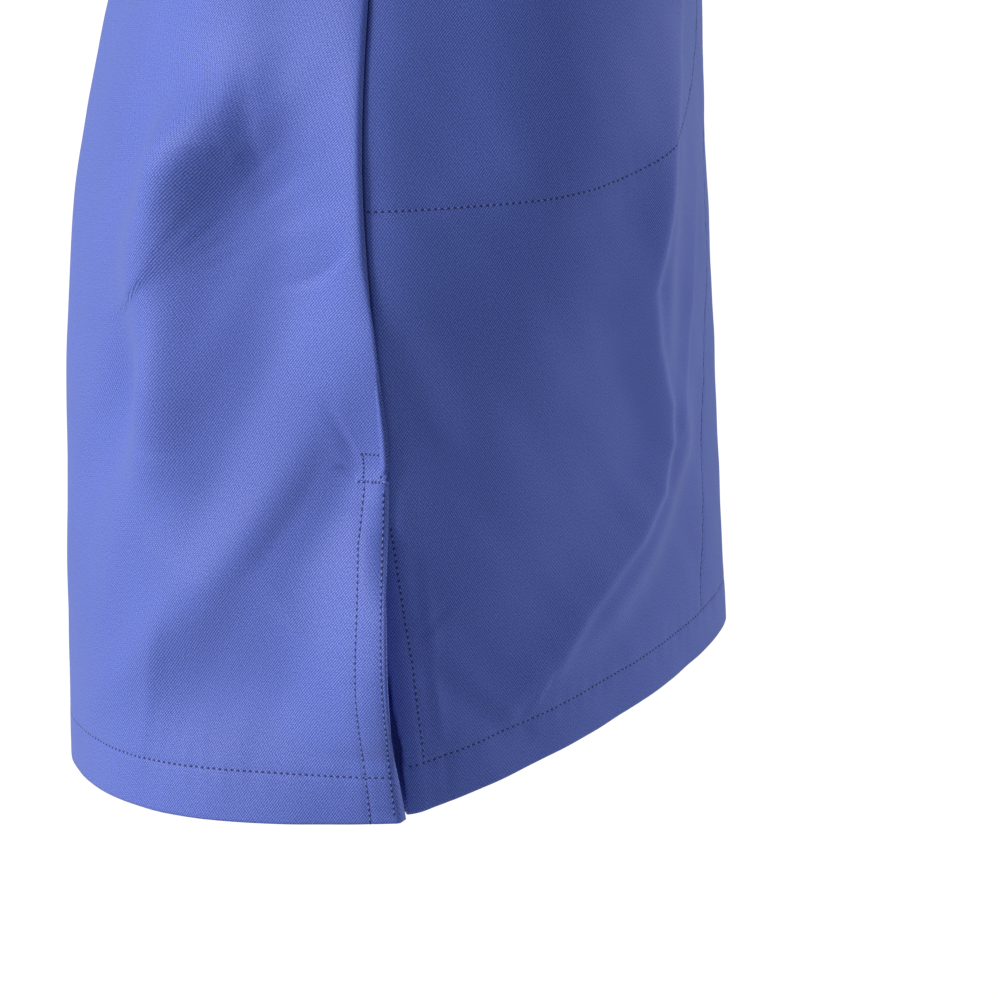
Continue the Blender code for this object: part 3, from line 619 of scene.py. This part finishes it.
# By height: how far the side edge runs on under the back, and how much of that lies flat before it turns in.
EDGE_UPS = (0.0, 0.01, 0.02, 0.028, 0.045, 0.062, 0.084, 0.1, 0.115, 0.145, 0.52, 0.53)
EDGE_LAP = (0.0034, 0.0038, 0.0044, 0.0052, 0.007, 0.0074, 0.0062, 0.0044, 0.0028, 0.0018, 0.0018, 0.0)
EDGE_FLAT = (-0.0008, -0.0014, -0.0006, -0.001, 0.0014, 0.0026, 0.005, 0.0042, 0.0022, 0.0, 0.0, 0.0)
EDGE_FADE, EDGE_DROP, EDGE_BEND = 0.012, 0.011, 0.001
EDGE_TURN, EDGE_TURN_FROM, EDGE_TURN_TO = 0.8, 0.0028, 0.0046
HEM_DROP, HEM_DROP_FROM, HEM_DROP_TO = 0.4, 0.004, 0.024
EDGE_RISE, EDGE_RISE_AT, EDGE_RISE_WIDE, EDGE_RISE_TO, EDGE_RISE_FULL = 0.0018, 0.0062, 0.005, 0.15, 0.125
SEWN_BELOW, SEWN_ABOVE, SEAM_DIP, SEAM_DIP_WIDTH = 0.006, 0.004, 0.0016, 0.0022
TUCK_ROWS, TUCK_BACK, TUCK_DOWN = 0.0019, 0.0024, 0.0022
MIRROR = np.array([-1.0, 1.0, 1.0])
# Grid lines, as runs of (start, end, spacing), are closer in the half that the hem, vents and folds are in.
shares = grid_lines((
    (SEAM_GAP / 2, 0.006, 0.0005), (0.006, 0.012, 0.001), (0.012, 0.2475, 0.0019),
    (0.2475, GIRTH + FRONT_LAP, 0.002),
)) / GIRTH
ups = grid_lines((
    (0.0, 0.026, 0.0013), (0.026, 0.285, 0.0017), (0.285, TOP_UP - NECK_HEM, 0.006),
    (TOP_UP - NECK_HEM, TOP_UP, 0.002),
))
near = np.where(shares > 1, 2 - shares, shares)
for side, sign, folds, facing_line, seed in (
    ("right", 1, RIGHT_FRONT_FOLDS + RIGHT_FRONT_CREASES, RIGHT_FACING_LINE, 0.0),
    ("left", -1, LEFT_FRONT_FOLDS + LEFT_FRONT_CREASES, LEFT_FACING_LINE, 1.7),
):
    left = side == "left"
    points, normal = front_half(shares, ups, folds)
    across = girth_at(FRONT_ROWS, ups)[:, None] * near
    up = np.broadcast_to(ups[:, None], across.shape)
    lines = (FRONT_HEM_LINE, facing_line, FRONT_VENT_LINE, BAG_LINE)
    points = points + normal * cloth_relief(across, up, lines, seed)[..., None]
    # The side edge runs on under the back, turns in and comes back, and stands a little full beside the vent.
    lap = np.interp(up, EDGE_UPS, EDGE_LAP) * np.clip(1 - across / EDGE_FADE, 0, 1) ** 2
    turned = np.clip(lap - across - np.interp(up, EDGE_UPS, EDGE_FLAT), 0, None)
    points[..., 1] += lap
    sewn = smooth(up, VENT - SEWN_BELOW, VENT + SEWN_ABOVE) * smooth(up, STAND_TO, STAND_FADE)
    drop = EDGE_DROP * (HEM_DROP + (1 - HEM_DROP) * smooth(up, HEM_DROP_FROM, HEM_DROP_TO))
    back_out = 1 - EDGE_TURN * smooth(turned, EDGE_TURN_FROM, EDGE_TURN_TO)
    points[..., 0] += drop * smooth(turned, 0, EDGE_BEND) * back_out
    fuller = smooth(up, EDGE_RISE_TO, EDGE_RISE_FULL)
    points[..., 0] -= EDGE_RISE * fuller * fading(across - EDGE_RISE_AT, EDGE_RISE_WIDE)
    points[..., 0] += SEAM_DIP * sewn * fading(across, SEAM_DIP_WIDTH)
    tuck = smooth(up, TOP_UP - TUCK_ROWS, TOP_UP) * (near < SHOULDER_SHARE)
    points = points + tuck[..., None] * np.array([0.0, TUCK_BACK, -TUCK_DOWN])
    if left:
        under = np.clip(((shares - 1) * GIRTH + FRONT_LAP + LAP_EASE) / LAP_EASE, 0, 1)
        points = points - normal * (LAP_DEPTH * under * under * (3 - 2 * under))[None, :, None]
    facing = thinning((FRONT_EDGE - shares[None, :]) * GIRTH, FRONT_FACING)
    doubled = np.maximum(turned_edges(shares, up), facing)
    cloth = Cloth(shares, ups, points, FRONT_ROWS, sign)
    cloth_map = np.stack([(across - lap) * sign, up], axis=-1)
    if left:
        points, cloth_map, doubled = points[:, ::-1] * MIRROR, cloth_map[:, ::-1], doubled[:, ::-1]
    front = cloth_object("front_panel_" + side, points, cloth_map, doubled, TWILL)
    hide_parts("front_" + side)
    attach(front, "root")
    seam = bmesh.new()
    for line in lines:
        add_stitches(seam, cloth, line)
    front_stitches = finish_stitches("stitching_front_" + side, seam)


# ---- Back ----
# The back, cut from the same twill in one piece from side seam to side seam, with a turned hem and vents. It
# is fuller than the fronts below the waist, so it rolls over the side seams in a long soft ridge.
BACK_NECK_Y, BACK_NECK_Z = 0.062, -0.020
BACK_ROWS = (
    Row(0.000, 0.208, 0.0113, -0.745, 0.1640, -0.7515, 2.90),  # hem
    Row(0.055, 0.207, 0.0177, -0.690, 0.1620, -0.6950, 2.90),
    Row(0.145, 0.197, 0.0190, -0.600, 0.1590, -0.604, 2.90),  # top of the vent
    Row(0.210, 0.196, 0.0225, -0.535, 0.1560, -0.535, 2.90),
    Row(0.275, 0.192, 0.0262, -0.470, 0.1480, -0.470, 2.80),
    Row(0.340, 0.183, 0.0240, -0.405, 0.1340, -0.405, 2.60),
    Row(0.395, 0.176, 0.0190, -0.350, 0.1220, -0.350, 2.50),  # waist
    Row(0.440, 0.178, 0.0120, -0.305, 0.1180, -0.305, 2.50),
    Row(0.485, 0.185, 0.0060, -0.260, 0.1180, -0.260, 2.50),
    Row(0.530, 0.190, 0.0020, -0.215, 0.1180, -0.215, 2.50),  # underarm
    Row(0.570, 0.178, 0.0440, -0.177, 0.1180, -0.175, 2.40),
    Row(0.612, 0.172, 0.0600, -0.135, 0.1140, -0.130, 2.30),
    Row(0.660, 0.180, 0.0480, -0.090, 0.1020, -0.075, 2.20),
)
RIGHT_BACK_FOLDS = (
    Fold(-0.027, 0.246, 0.049, 0.093, 0.186, 0.023, 0.0143, 0.0045),
    Fold(0.034, 0.358, 0.042, 0.278, 0.029, 0.248, 0.0161, -0.0029),
    Fold(0.106, 0.273, 0.077, 0.227, 0.158, 0.136, 0.0170, -0.0114),
    Fold(0.075, 0.274, 0.011, 0.239, 0.070, 0.096, 0.0528, -0.0141),
    Fold(0.049, 0.295, 0.109, 0.288, 0.106, 0.154, 0.0181, 0.0223),
    Fold(-0.012, 0.123, 0.002, 0.082, 0.003, 0.029, 0.0255, 0.0204),
    Fold(0.029, 0.071, 0.072, 0.041, 0.113, 0.054, 0.0317, -0.0121),
    Fold(0.018, 0.243, -0.022, 0.267, 0.056, 0.132, 0.0169, 0.0060),
    Fold(0.170, 0.440, 0.215, 0.260, 0.200, 0.005, 0.0280, 0.0050),
    Fold(0.030, 0.430, 0.100, 0.385, 0.190, 0.395, 0.0160, -0.0040),
)
RIGHT_BACK_CREASES = (
    Crease(((0.0185, 0.1515), (0.014, 0.1495), (0.01, 0.1462)), 0.0012, -0.0013, 0.4),
    Crease(((0.0216, 0.18), (0.0195, 0.175), (0.0141, 0.1625), (0.0109, 0.15)), 0.002, -0.0008, 0.4),
    Crease(((0.0217, 0.17), (0.034, 0.14), (0.0566, 0.11), (0.075, 0.095)), 0.009, -0.0012, 0.3),
    Crease(((0.07, 0.21), (0.085, 0.18), (0.11, 0.16)), 0.012, 0.0008, 0),
    Crease(((0.03, 0.36), (0.07, 0.345), (0.11, 0.35)), 0.01, 0.0014, 0.3),
    Crease(((0.14, 0.36), (0.18, 0.372), (0.22, 0.362)), 0.01, 0.0014, -0.3),
    Crease(((0.05, 0.5), (0.09, 0.47), (0.14, 0.45)), 0.013, -0.0024, 0.3),
    Crease(((0.03, 0.54), (0.08, 0.55), (0.13, 0.58)), 0.012, 0.0022, 0.3),
)
LEFT_BACK_FOLDS = (
    Fold(-0.020, 0.260, 0.052, 0.105, 0.176, 0.030, 0.0150, 0.0042),
    Fold(0.036, 0.350, 0.044, 0.285, 0.031, 0.256, 0.0165, -0.0030),
    Fold(0.102, 0.285, 0.080, 0.238, 0.152, 0.146, 0.0180, -0.0104),
    Fold(0.070, 0.286, 0.014, 0.246, 0.066, 0.108, 0.0500, -0.0130),
    Fold(0.052, 0.306, 0.104, 0.296, 0.102, 0.166, 0.0190, 0.0200),
    Fold(-0.012, 0.128, 0.002, 0.086, 0.004, 0.032, 0.0250, 0.0180),
    Fold(0.032, 0.080, 0.070, 0.048, 0.108, 0.060, 0.0300, -0.0110),
    Fold(0.190, 0.400, 0.160, 0.230, 0.175, 0.005, 0.0280, 0.0054),
    Fold(0.040, 0.400, 0.110, 0.410, 0.200, 0.370, 0.0170, -0.0042),
)
LEFT_BACK_CREASES = (
    Crease(((0.017, 0.15), (0.0135, 0.1485), (0.01, 0.1465)), 0.0012, -0.0013, 0.4),
    Crease(((0.0226, 0.184), (0.02, 0.178), (0.015, 0.165), (0.0112, 0.151)), 0.0021, -0.0008, 0.4),
    Crease(((0.024, 0.176), (0.038, 0.145), (0.06, 0.115), (0.08, 0.098)), 0.009, -0.0012, 0.3),
    Crease(((0.04, 0.11), (0.07, 0.085), (0.1, 0.05)), 0.01, 0.0008, 0.3),
    Crease(((0.03, 0.34), (0.08, 0.35), (0.12, 0.34)), 0.01, 0.0014, 0.3),
    Crease(((0.15, 0.35), (0.19, 0.34), (0.23, 0.35)), 0.011, 0.0013, -0.3),
    Crease(((0.05, 0.49), (0.1, 0.46), (0.15, 0.45)), 0.013, -0.0023, 0.3),
    Crease(((0.03, 0.55), (0.07, 0.56), (0.12, 0.59)), 0.012, 0.002, 0.3),
)
ROLL_HEIGHT, ROLL_CREST, ROLL_WIDTH, ROLL_EDGE = 0.0032, 0.0033, 0.012, 0.6
ROLL_FROM, ROLL_FULL, ROLL_FADE, ROLL_TO = 0.060, 0.150, 0.300, 0.420
BACK_HEM_LINE = ((0.0035, HEM_LINE), (0.3015, HEM_LINE))
BACK_VENT_LINES = (
    ((0.0135, 0.0008), (0.0127, HEM_LINE), (0.0125, 0.0575), (0.011, 0.0925), (0.011, 0.12), (0.0088, 0.145)),
    ((0.0042, 0.004), (0.0036, 0.016), (0.0022, 0.04), (0.0022, 0.055), (0.0022, 0.1), (0.0024, 0.143)),
)
# By height: how far the edge leans over the front, turns in at the hem, and stands off the front.
LIP_UPS = (0.0, 0.018, 0.03, 0.05, 0.09, 0.12, 0.145, 0.152, 0.165, 0.183, 0.21, 0.24)
LIP_LEAN = (0.002, 0.0014, 0.001, 0.0012, 0.0017, 0.0022, 0.0031, 0.0064, 0.0064, 0.005, 0.003, 0.0)
LIP_TURN = (0.0064, 0.0058, 0.001, 0.0, 0.0, 0.0, 0.0, 0.0, 0.0, 0.0, 0.0, 0.0)
LIP_OUT = (0.0, 0.0, 0.0, 0.0, 0.0002, 0.0006, 0.0006, 0.0, 0.0, 0.0, 0.0, 0.0)
LIP_FADE, LIP_END, LIP_ROUND, LIP_CURVE = 0.0095, 0.0029, 0.0012, 1.2
BACK_SEWN_BELOW, BACK_SEWN_ABOVE = 0.002, 0.006
# A bar tack holds the top of each vent, in closer stitches that end in knots.
TACK_STITCH = 0.0019
TACK_LINES = (
    ((0.01, 0.157), (0.0034, 0.157)),
    ((0.01, 0.1455), (0.0008, 0.1455)),
    ((0.01, 0.1565), (0.0094, 0.1455)),
    ((0.0045, 0.1565), (0.0043, 0.151), (0.004, 0.146)),
)
TACK_KNOTS = ((0.0112, 0.1453), (0.0094, 0.1453), (0.0066, 0.1455), (0.0010, 0.1453), (0.0022, 0.1458))
KNOT_RADIUS, KNOT_OUT, KNOT_SHAPE = 0.00062, 0.0004, (1.0, 1.4, 0.8, 1.0)


def roll_at(round_body, up):
    """The lip in which the back panel rolls over the side seam."""
    rise = np.sin(np.clip(round_body / ROLL_CREST, 0, 1) * np.pi / 2) ** ROLL_EDGE
    fall = fading(np.clip(round_body - ROLL_CREST, 0, None), ROLL_WIDTH)
    return ROLL_HEIGHT * rise * fall * smooth(up, ROLL_FROM, ROLL_FULL) * smooth(up, ROLL_TO, ROLL_FADE)


def back_half(shares, ups, folds):
    """The right half of the back, as points, outward normals and distances round."""
    points, round_body = half_body(BACK_ROWS, BACK_NECK_Y, BACK_NECK_Z, shares, ups)
    normal = outward(points, 1)
    up = np.broadcast_to(ups[:, None], round_body.shape)
    calm = np.clip((1 - shares) / CALM_CENTRE, 0, 1)
    push = folds_at(folds, round_body, up) * calm * held_at(round_body, up)
    push += stand_at(round_body, up) + roll_at(round_body, up)
    return points + normal * push[..., None], normal, round_body


# The grid lines of the back are closest at the hem and round the top of the vent.
ups = grid_lines((
    (0.0, 0.026, 0.0013), (0.026, 0.138, 0.0019), (0.138, 0.164, 0.001), (0.164, 0.285, 0.0019),
    (0.285, TOP_UP - NECK_HEM, 0.008), (TOP_UP - NECK_HEM, TOP_UP, 0.002),
))
halves = []
back_seam = bmesh.new()
for sign, folds, fine, seed in (
    (1, RIGHT_BACK_FOLDS + RIGHT_BACK_CREASES, 0.0019, 0.9),
    (-1, LEFT_BACK_FOLDS + LEFT_BACK_CREASES, 0.0032, 3.1),
):
    shares = grid_lines(((SEAM_GAP / 2, 0.016, 0.001), (0.016, 0.130, fine), (0.130, GIRTH, 0.0045))) / GIRTH
    points, normal, across = back_half(shares, ups, folds)
    up = np.broadcast_to(ups[:, None], across.shape)
    lines = (BACK_HEM_LINE, *BACK_VENT_LINES)
    calm = np.clip((1 - shares) / CALM_CENTRE, 0, 1)
    points = points + normal * (cloth_relief(across, up, lines, seed) * calm)[..., None]
    sewn = smooth(up, VENT - BACK_SEWN_BELOW, VENT + BACK_SEWN_ABOVE)
    lean = np.interp(up, LIP_UPS, LIP_LEAN) * fading(across, LIP_FADE)
    lean *= 1 - sewn * fading(across, LIP_ROUND)
    points[..., 1] -= lean
    points[..., 0] += np.interp(up, LIP_UPS, LIP_TURN) * np.clip(1 - across / LIP_END, 0, 1) ** LIP_CURVE
    points[..., 0] -= np.interp(up, LIP_UPS, LIP_OUT) * fading(across, LIP_END)
    from_centre = girth_at(BACK_ROWS, ups)[:, None] - across
    halves.append((points, np.stack([from_centre + lean, up], axis=-1), turned_edges(shares, up)))
    cloth = Cloth(shares, ups, points, BACK_ROWS, sign)
    for line in lines:
        add_stitches(back_seam, cloth, line)
    for line in TACK_LINES:
        add_stitches(back_seam, cloth, line, TACK_STITCH)
    for place, out in zip(*on_cloth(cloth, TACK_KNOTS)):
        knot = Matrix.Translation(place + out * KNOT_OUT) @ Matrix.Diagonal(KNOT_SHAPE)
        bmesh.ops.create_icosphere(back_seam, subdivisions=2, radius=KNOT_RADIUS, matrix=knot)
(right, right_map, right_doubled), (left, left_map, left_doubled) = halves
points = np.concatenate([left * MIRROR, right[:, -2::-1]], axis=1)
cloth_map = np.concatenate([left_map * MIRROR[:2], right_map[:, -2::-1]], axis=1)
doubled = np.concatenate([left_doubled, right_doubled[:, -2::-1]], axis=1)
back = cloth_object("back_panel", points, cloth_map, doubled, TWILL)
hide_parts("back")
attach(back, "root")
back_stitches = finish_stitches("stitching_back", back_seam)


# ---- Sleeves ----
# Short set-in sleeves of the same twill. Each is one piece closed by an underarm seam, with a hem turned and
# stitched at the cuff, and it hangs in soft drag folds from the shoulder.
SLEEVE_DROP, SHOULDER_TILT = 62, 18
CUFF_X, CUFF_Y, CUFF_Z, CUFF_WIDE, CUFF_DEEP = 0.306, -0.006, -0.232, 0.058, 0.066
SLEEVE_SEAM_GAP, HEAD_PULL, CUFF_PULL, HEAD_CALM = 0.0016, 0.36, 0.34, 0.08
SLEEVE_ROUND, ARMHOLE_ROWS = 120, 160
SLEEVE_UPS = np.concatenate([np.linspace(0.0, 0.86, 76), np.linspace(0.87, 1.0, 20)])  # closer at the hem
CUFF_GROOVE, CUFF_PUCKERS, CUFF_PUCKER_SHIFT = 0.0014, 34, 5
ALLOWANCE_UPS, ALLOWANCE_IN, ALLOWANCE_DOWN = (-0.04, -0.02), (0.0065, 0.0022), 0.0022
DRAG_POWER, LEFT_DRAG_TURN = 0.8, 0.35
# (turn, width of turn, start, end, height): ridges and troughs that run down the sleeve
SLEEVE_FOLDS = (
    (0.30, 0.16, 0.10, 0.95, 0.0022), (0.62, 0.14, 0.25, 0.90, -0.0020), (1.25, 0.22, 0.05, 0.60, 0.0016),
    (1.95, 0.20, 0.30, 1.05, -0.0018), (2.60, 0.24, 0.00, 0.70, 0.0018), (3.40, 0.22, 0.20, 1.00, -0.0018),
    (4.10, 0.20, 0.05, 0.65, 0.0016), (4.85, 0.18, 0.30, 1.05, 0.0020), (5.45, 0.15, 0.10, 0.85, -0.0022),
    (5.90, 0.14, 0.30, 0.95, 0.0016),
)


def falling_line(tilt):
    """A direction outwards from the right side, tilted below level by that many degrees."""
    return np.array([-np.cos(np.radians(tilt)), 0.0, -np.sin(np.radians(tilt))])


def sleeve_rings(ups):
    """The right sleeve: rings from armhole to cuff. Each starts under the arm and goes up the front."""
    half = SLEEVE_ROUND // 2
    armhole_ups = np.linspace(FRONT_ROWS[UNDERARM].up, TOP_UP, ARMHOLE_ROWS)
    beside = np.array([0.0, 0.01])
    front, _ = front_half(beside, armhole_ups, ())
    back, _, _ = back_half(beside, armhole_ups, ())
    rising = share_out(front[:, 0], np.linspace(0, 1, half + 1))
    falling = share_out(back[::-1, 0], np.linspace(0, 1, half + 1))
    armhole = np.concatenate([rising[:-1], [(rising[-1] + falling[0]) / 2], falling[1:-1]])
    turn = np.arange(SLEEVE_ROUND) * 2 * np.pi / SLEEVE_ROUND
    arm = falling_line(SLEEVE_DROP)
    over = np.array([arm[2], 0.0, -arm[0]])
    cuff = np.array([-CUFF_X, CUFF_Y, CUFF_Z]) - np.cos(turn)[:, None] * over * CUFF_WIDE
    cuff[:, 1] -= np.sin(turn) * CUFF_DEEP
    lead = falling_line(SHOULDER_TILT)
    reach = np.linalg.norm(cuff - armhole, axis=1)[:, None]
    armhole = armhole + lead * SLEEVE_SEAM_GAP
    t = np.asarray(ups)[:, None, None]
    bent = armhole * (1 - t) ** 3 + (armhole + lead * reach * HEAD_PULL) * 3 * t * (1 - t) ** 2
    return bent + (cuff - arm * reach * CUFF_PULL) * 3 * t * t * (1 - t) + cuff * t**3, reach, turn


def closed(field):
    """The lines of a sleeve with the first one again after the last, where the underarm seam joins them."""
    return np.concatenate([field, field[:, :1]], axis=1)


for side in ("right", "left"):
    left, ups = side == "left", SLEEVE_UPS
    points, reach, turn = sleeve_rings(ups)
    ring = np.concatenate([points[:, -1:], points, points[:, :1]], axis=1)
    normal = outward(ring, -1)[:, 1:-1]
    hem_share = 1 - HEM_LINE / reach[:, 0]
    push = np.zeros(points.shape[:2])
    for place, width, start, end, height in SLEEVE_FOLDS:
        place = place + (LEFT_DRAG_TURN if left else 0.0)
        away = np.angle(np.exp(1j * (turn - place)))[None, :]
        along = np.clip((ups - start) / (end - start), 0, 1)[:, None]
        push += height * fading(away, width) * np.sin(np.pi * along) ** DRAG_POWER
    push *= np.clip(ups / HEAD_CALM, 0, 1)[:, None]
    stitch_away = (ups[:, None] - hem_share[None, :]) * reach[:, 0]
    push -= GROOVE * fading(stitch_away, CUFF_GROOVE)
    wave = np.sin(turn[None, :] * CUFF_PUCKERS + 2 * np.sin(turn[None, :] * CUFF_PUCKER_SHIFT))
    push += PUCKER * wave * fading(stitch_away, PUCKER_REACH)
    points = points + normal * push[..., None]
    # The seam allowance goes on inside the armhole.
    lead = falling_line(SHOULDER_TILT)
    allowance = [points[0] - lead * inwards - normal[0] * ALLOWANCE_DOWN for inwards in ALLOWANCE_IN]
    points = np.concatenate([allowance, points])
    normal = np.concatenate([normal[:1], normal[:1], normal])
    ups = np.concatenate([ALLOWANCE_UPS, ups])
    length = ups[:, None] * reach[:, 0]
    doubled = closed(thinning((1 - ups)[:, None] * reach[:, 0], HEM))
    wall = closed(points)
    run = np.broadcast_to(distances(wall[-1]), wall.shape[:2])
    cloth_map = np.stack([run, closed(-length)], axis=-1)
    if left:
        wall = wall * MIRROR
    else:
        wall, cloth_map, doubled = wall[:, ::-1], cloth_map[:, ::-1], doubled[:, ::-1]
    sleeve = cloth_object("sleeve_cloth_" + side, wall, cloth_map, doubled, TWILL, ring=True)
    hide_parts("sleeve_" + side)
    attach(sleeve, "root")
    sleeve_seam = bmesh.new()
    circle, facing = (
        np.array([between(hem_share[c], ups, field[:, c]) for c in (*range(SLEEVE_ROUND), 0)])
        for field in (points, normal)
    )
    side_sign = MIRROR if left else np.ones(3)
    run_stitches(sleeve_seam, circle * side_sign, facing * side_sign)
    sleeve_stitches = finish_stitches("stitching_sleeve_" + side, sleeve_seam)


# ---- Pocket bags ----
# One layer of thinner plain blue cotton behind each front, with its lower corner rounded. The stitching of
# the front goes through it and holds it, so its outline shows on the outside.
BAG_CLOTH, BAG_TOP, BAG_EDGE, BAG_EASE = 0.0010, 0.440, 0.016, 0.0014
BAG_COLUMNS, BAG_ROWS, BAG_CROWDING = 48, 40, 1.15
BAG_DEEP, BAG_LIGHT = (0.055, 0.080, 0.340, 1.0), (0.110, 0.145, 0.520, 1.0)
POCKETING = twill_material("Blue pocketing", BAG_DEEP, BAG_LIGHT, period=0.0006, angle=90.0)
crowd = np.sin(np.linspace(0.0, 1.0, BAG_COLUMNS) * np.pi / 2) ** BAG_CROWDING
reach = BAG_EDGE + (BAG_REACH - BAG_EDGE) * crowd
low = lower_edge(reach, 0.0)
levels = np.linspace(BAG_BOTTOM, BAG_TOP, FINE)
ups = low + (BAG_TOP - low) * np.linspace(0.0, 1.0, BAG_ROWS)[:, None]
for side, folds in (("right", RIGHT_FRONT_FOLDS), ("left", LEFT_FRONT_FOLDS)):
    points, normal = front_half(reach / GIRTH, levels, folds)
    behind = points - normal * (CLOTH + SEAM_GAP + BAG_EASE)
    points = np.array([between(ups[:, c], levels, behind[:, c]) for c in range(BAG_COLUMNS)])
    points = points.transpose(2, 0, 1)
    cloth_map = np.stack([np.broadcast_to(reach, ups.shape), ups], axis=-1)
    if side == "left":
        points, cloth_map = points[:, ::-1] * MIRROR, cloth_map[:, ::-1]
    single, name = np.ones(ups.shape), "pocket_bag_cloth_" + side
    bag = cloth_object(name, points, cloth_map, single, POCKETING, BAG_CLOTH, BAG_CLOTH)
    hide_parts("pocket_bag_" + side)
    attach(bag, "root")


# ---- Camera, light and floor ----
# A close view of the lower right side, from a little above the hem and about two metres away, in soft light
# from behind the tunic. The pale floor lies well below it, out of the picture.
scene = bpy.context.scene
camera_data = bpy.data.cameras.new("Camera")
camera_data.lens, camera_data.sensor_width = 187.7, 36.0
camera = bpy.data.objects.new("Camera", camera_data)
camera.location = (-2.3039, -0.03005, -0.06263)
camera.rotation_euler = Vector((0.96815, 0.0, -0.25038)).to_track_quat("-Z", "Y").to_euler()
scene.collection.objects.link(camera)
scene.camera = camera


def area_light(name, place, aim, size, power, colour):
    """A round soft lamp at a place, turned towards the point that it aims at."""
    light = bpy.data.lights.new(name, "AREA")
    light.shape, light.size, light.energy, light.color = "DISK", size, power, colour
    lamp = bpy.data.objects.new(name, light)
    lamp.location = place
    lamp.rotation_euler = (Vector(aim) - Vector(place)).to_track_quat("-Z", "Y").to_euler()
    scene.collection.objects.link(lamp)


area_light("Key", (-1.30, 2.60, 0.55), (-0.15, 0.0, -0.55), 1.3, 122.0, (0.97, 0.91, 0.79))
area_light("Rim", (0.95, -2.30, 0.45), (-0.05, -0.10, -0.55), 1.1, 30.0, (1.0, 0.98, 0.94))
world = bpy.data.worlds.new("Pale studio")
scene.world = world
world.use_nodes = True
nodes, links = world.node_tree.nodes, world.node_tree.links
seen = nodes["Background"]
seen.inputs["Color"].default_value, seen.inputs["Strength"].default_value = (1.0, 1.0, 1.0, 1.0), 1.05
around = nodes.new("ShaderNodeBackground")
around.inputs["Color"].default_value, around.inputs["Strength"].default_value = (0.83, 0.94, 1.0, 1.0), 0.36
ray, mix = nodes.new("ShaderNodeLightPath"), nodes.new("ShaderNodeMixShader")
links.new(ray.outputs["Is Camera Ray"], mix.inputs[0])
links.new(around.outputs[0], mix.inputs[1])
links.new(seen.outputs[0], mix.inputs[2])
links.new(mix.outputs[0], nodes["World Output"].inputs["Surface"])
scene.view_settings.view_transform = "Standard"

FLOOR_RADIUS, FLOOR_UP = 1.2, Matrix.Translation((0.0, 0.0, -1.45))
floor_shape = bmesh.new()
bmesh.ops.create_circle(floor_shape, cap_ends=True, segments=96, radius=FLOOR_RADIUS, matrix=FLOOR_UP)
pale, _, shader = new_material("Pale floor")
shader["Base Color"].default_value, shader["Roughness"].default_value = (0.80, 0.80, 0.80, 1.0), 0.8
floor = finished("floor", floor_shape, pale)
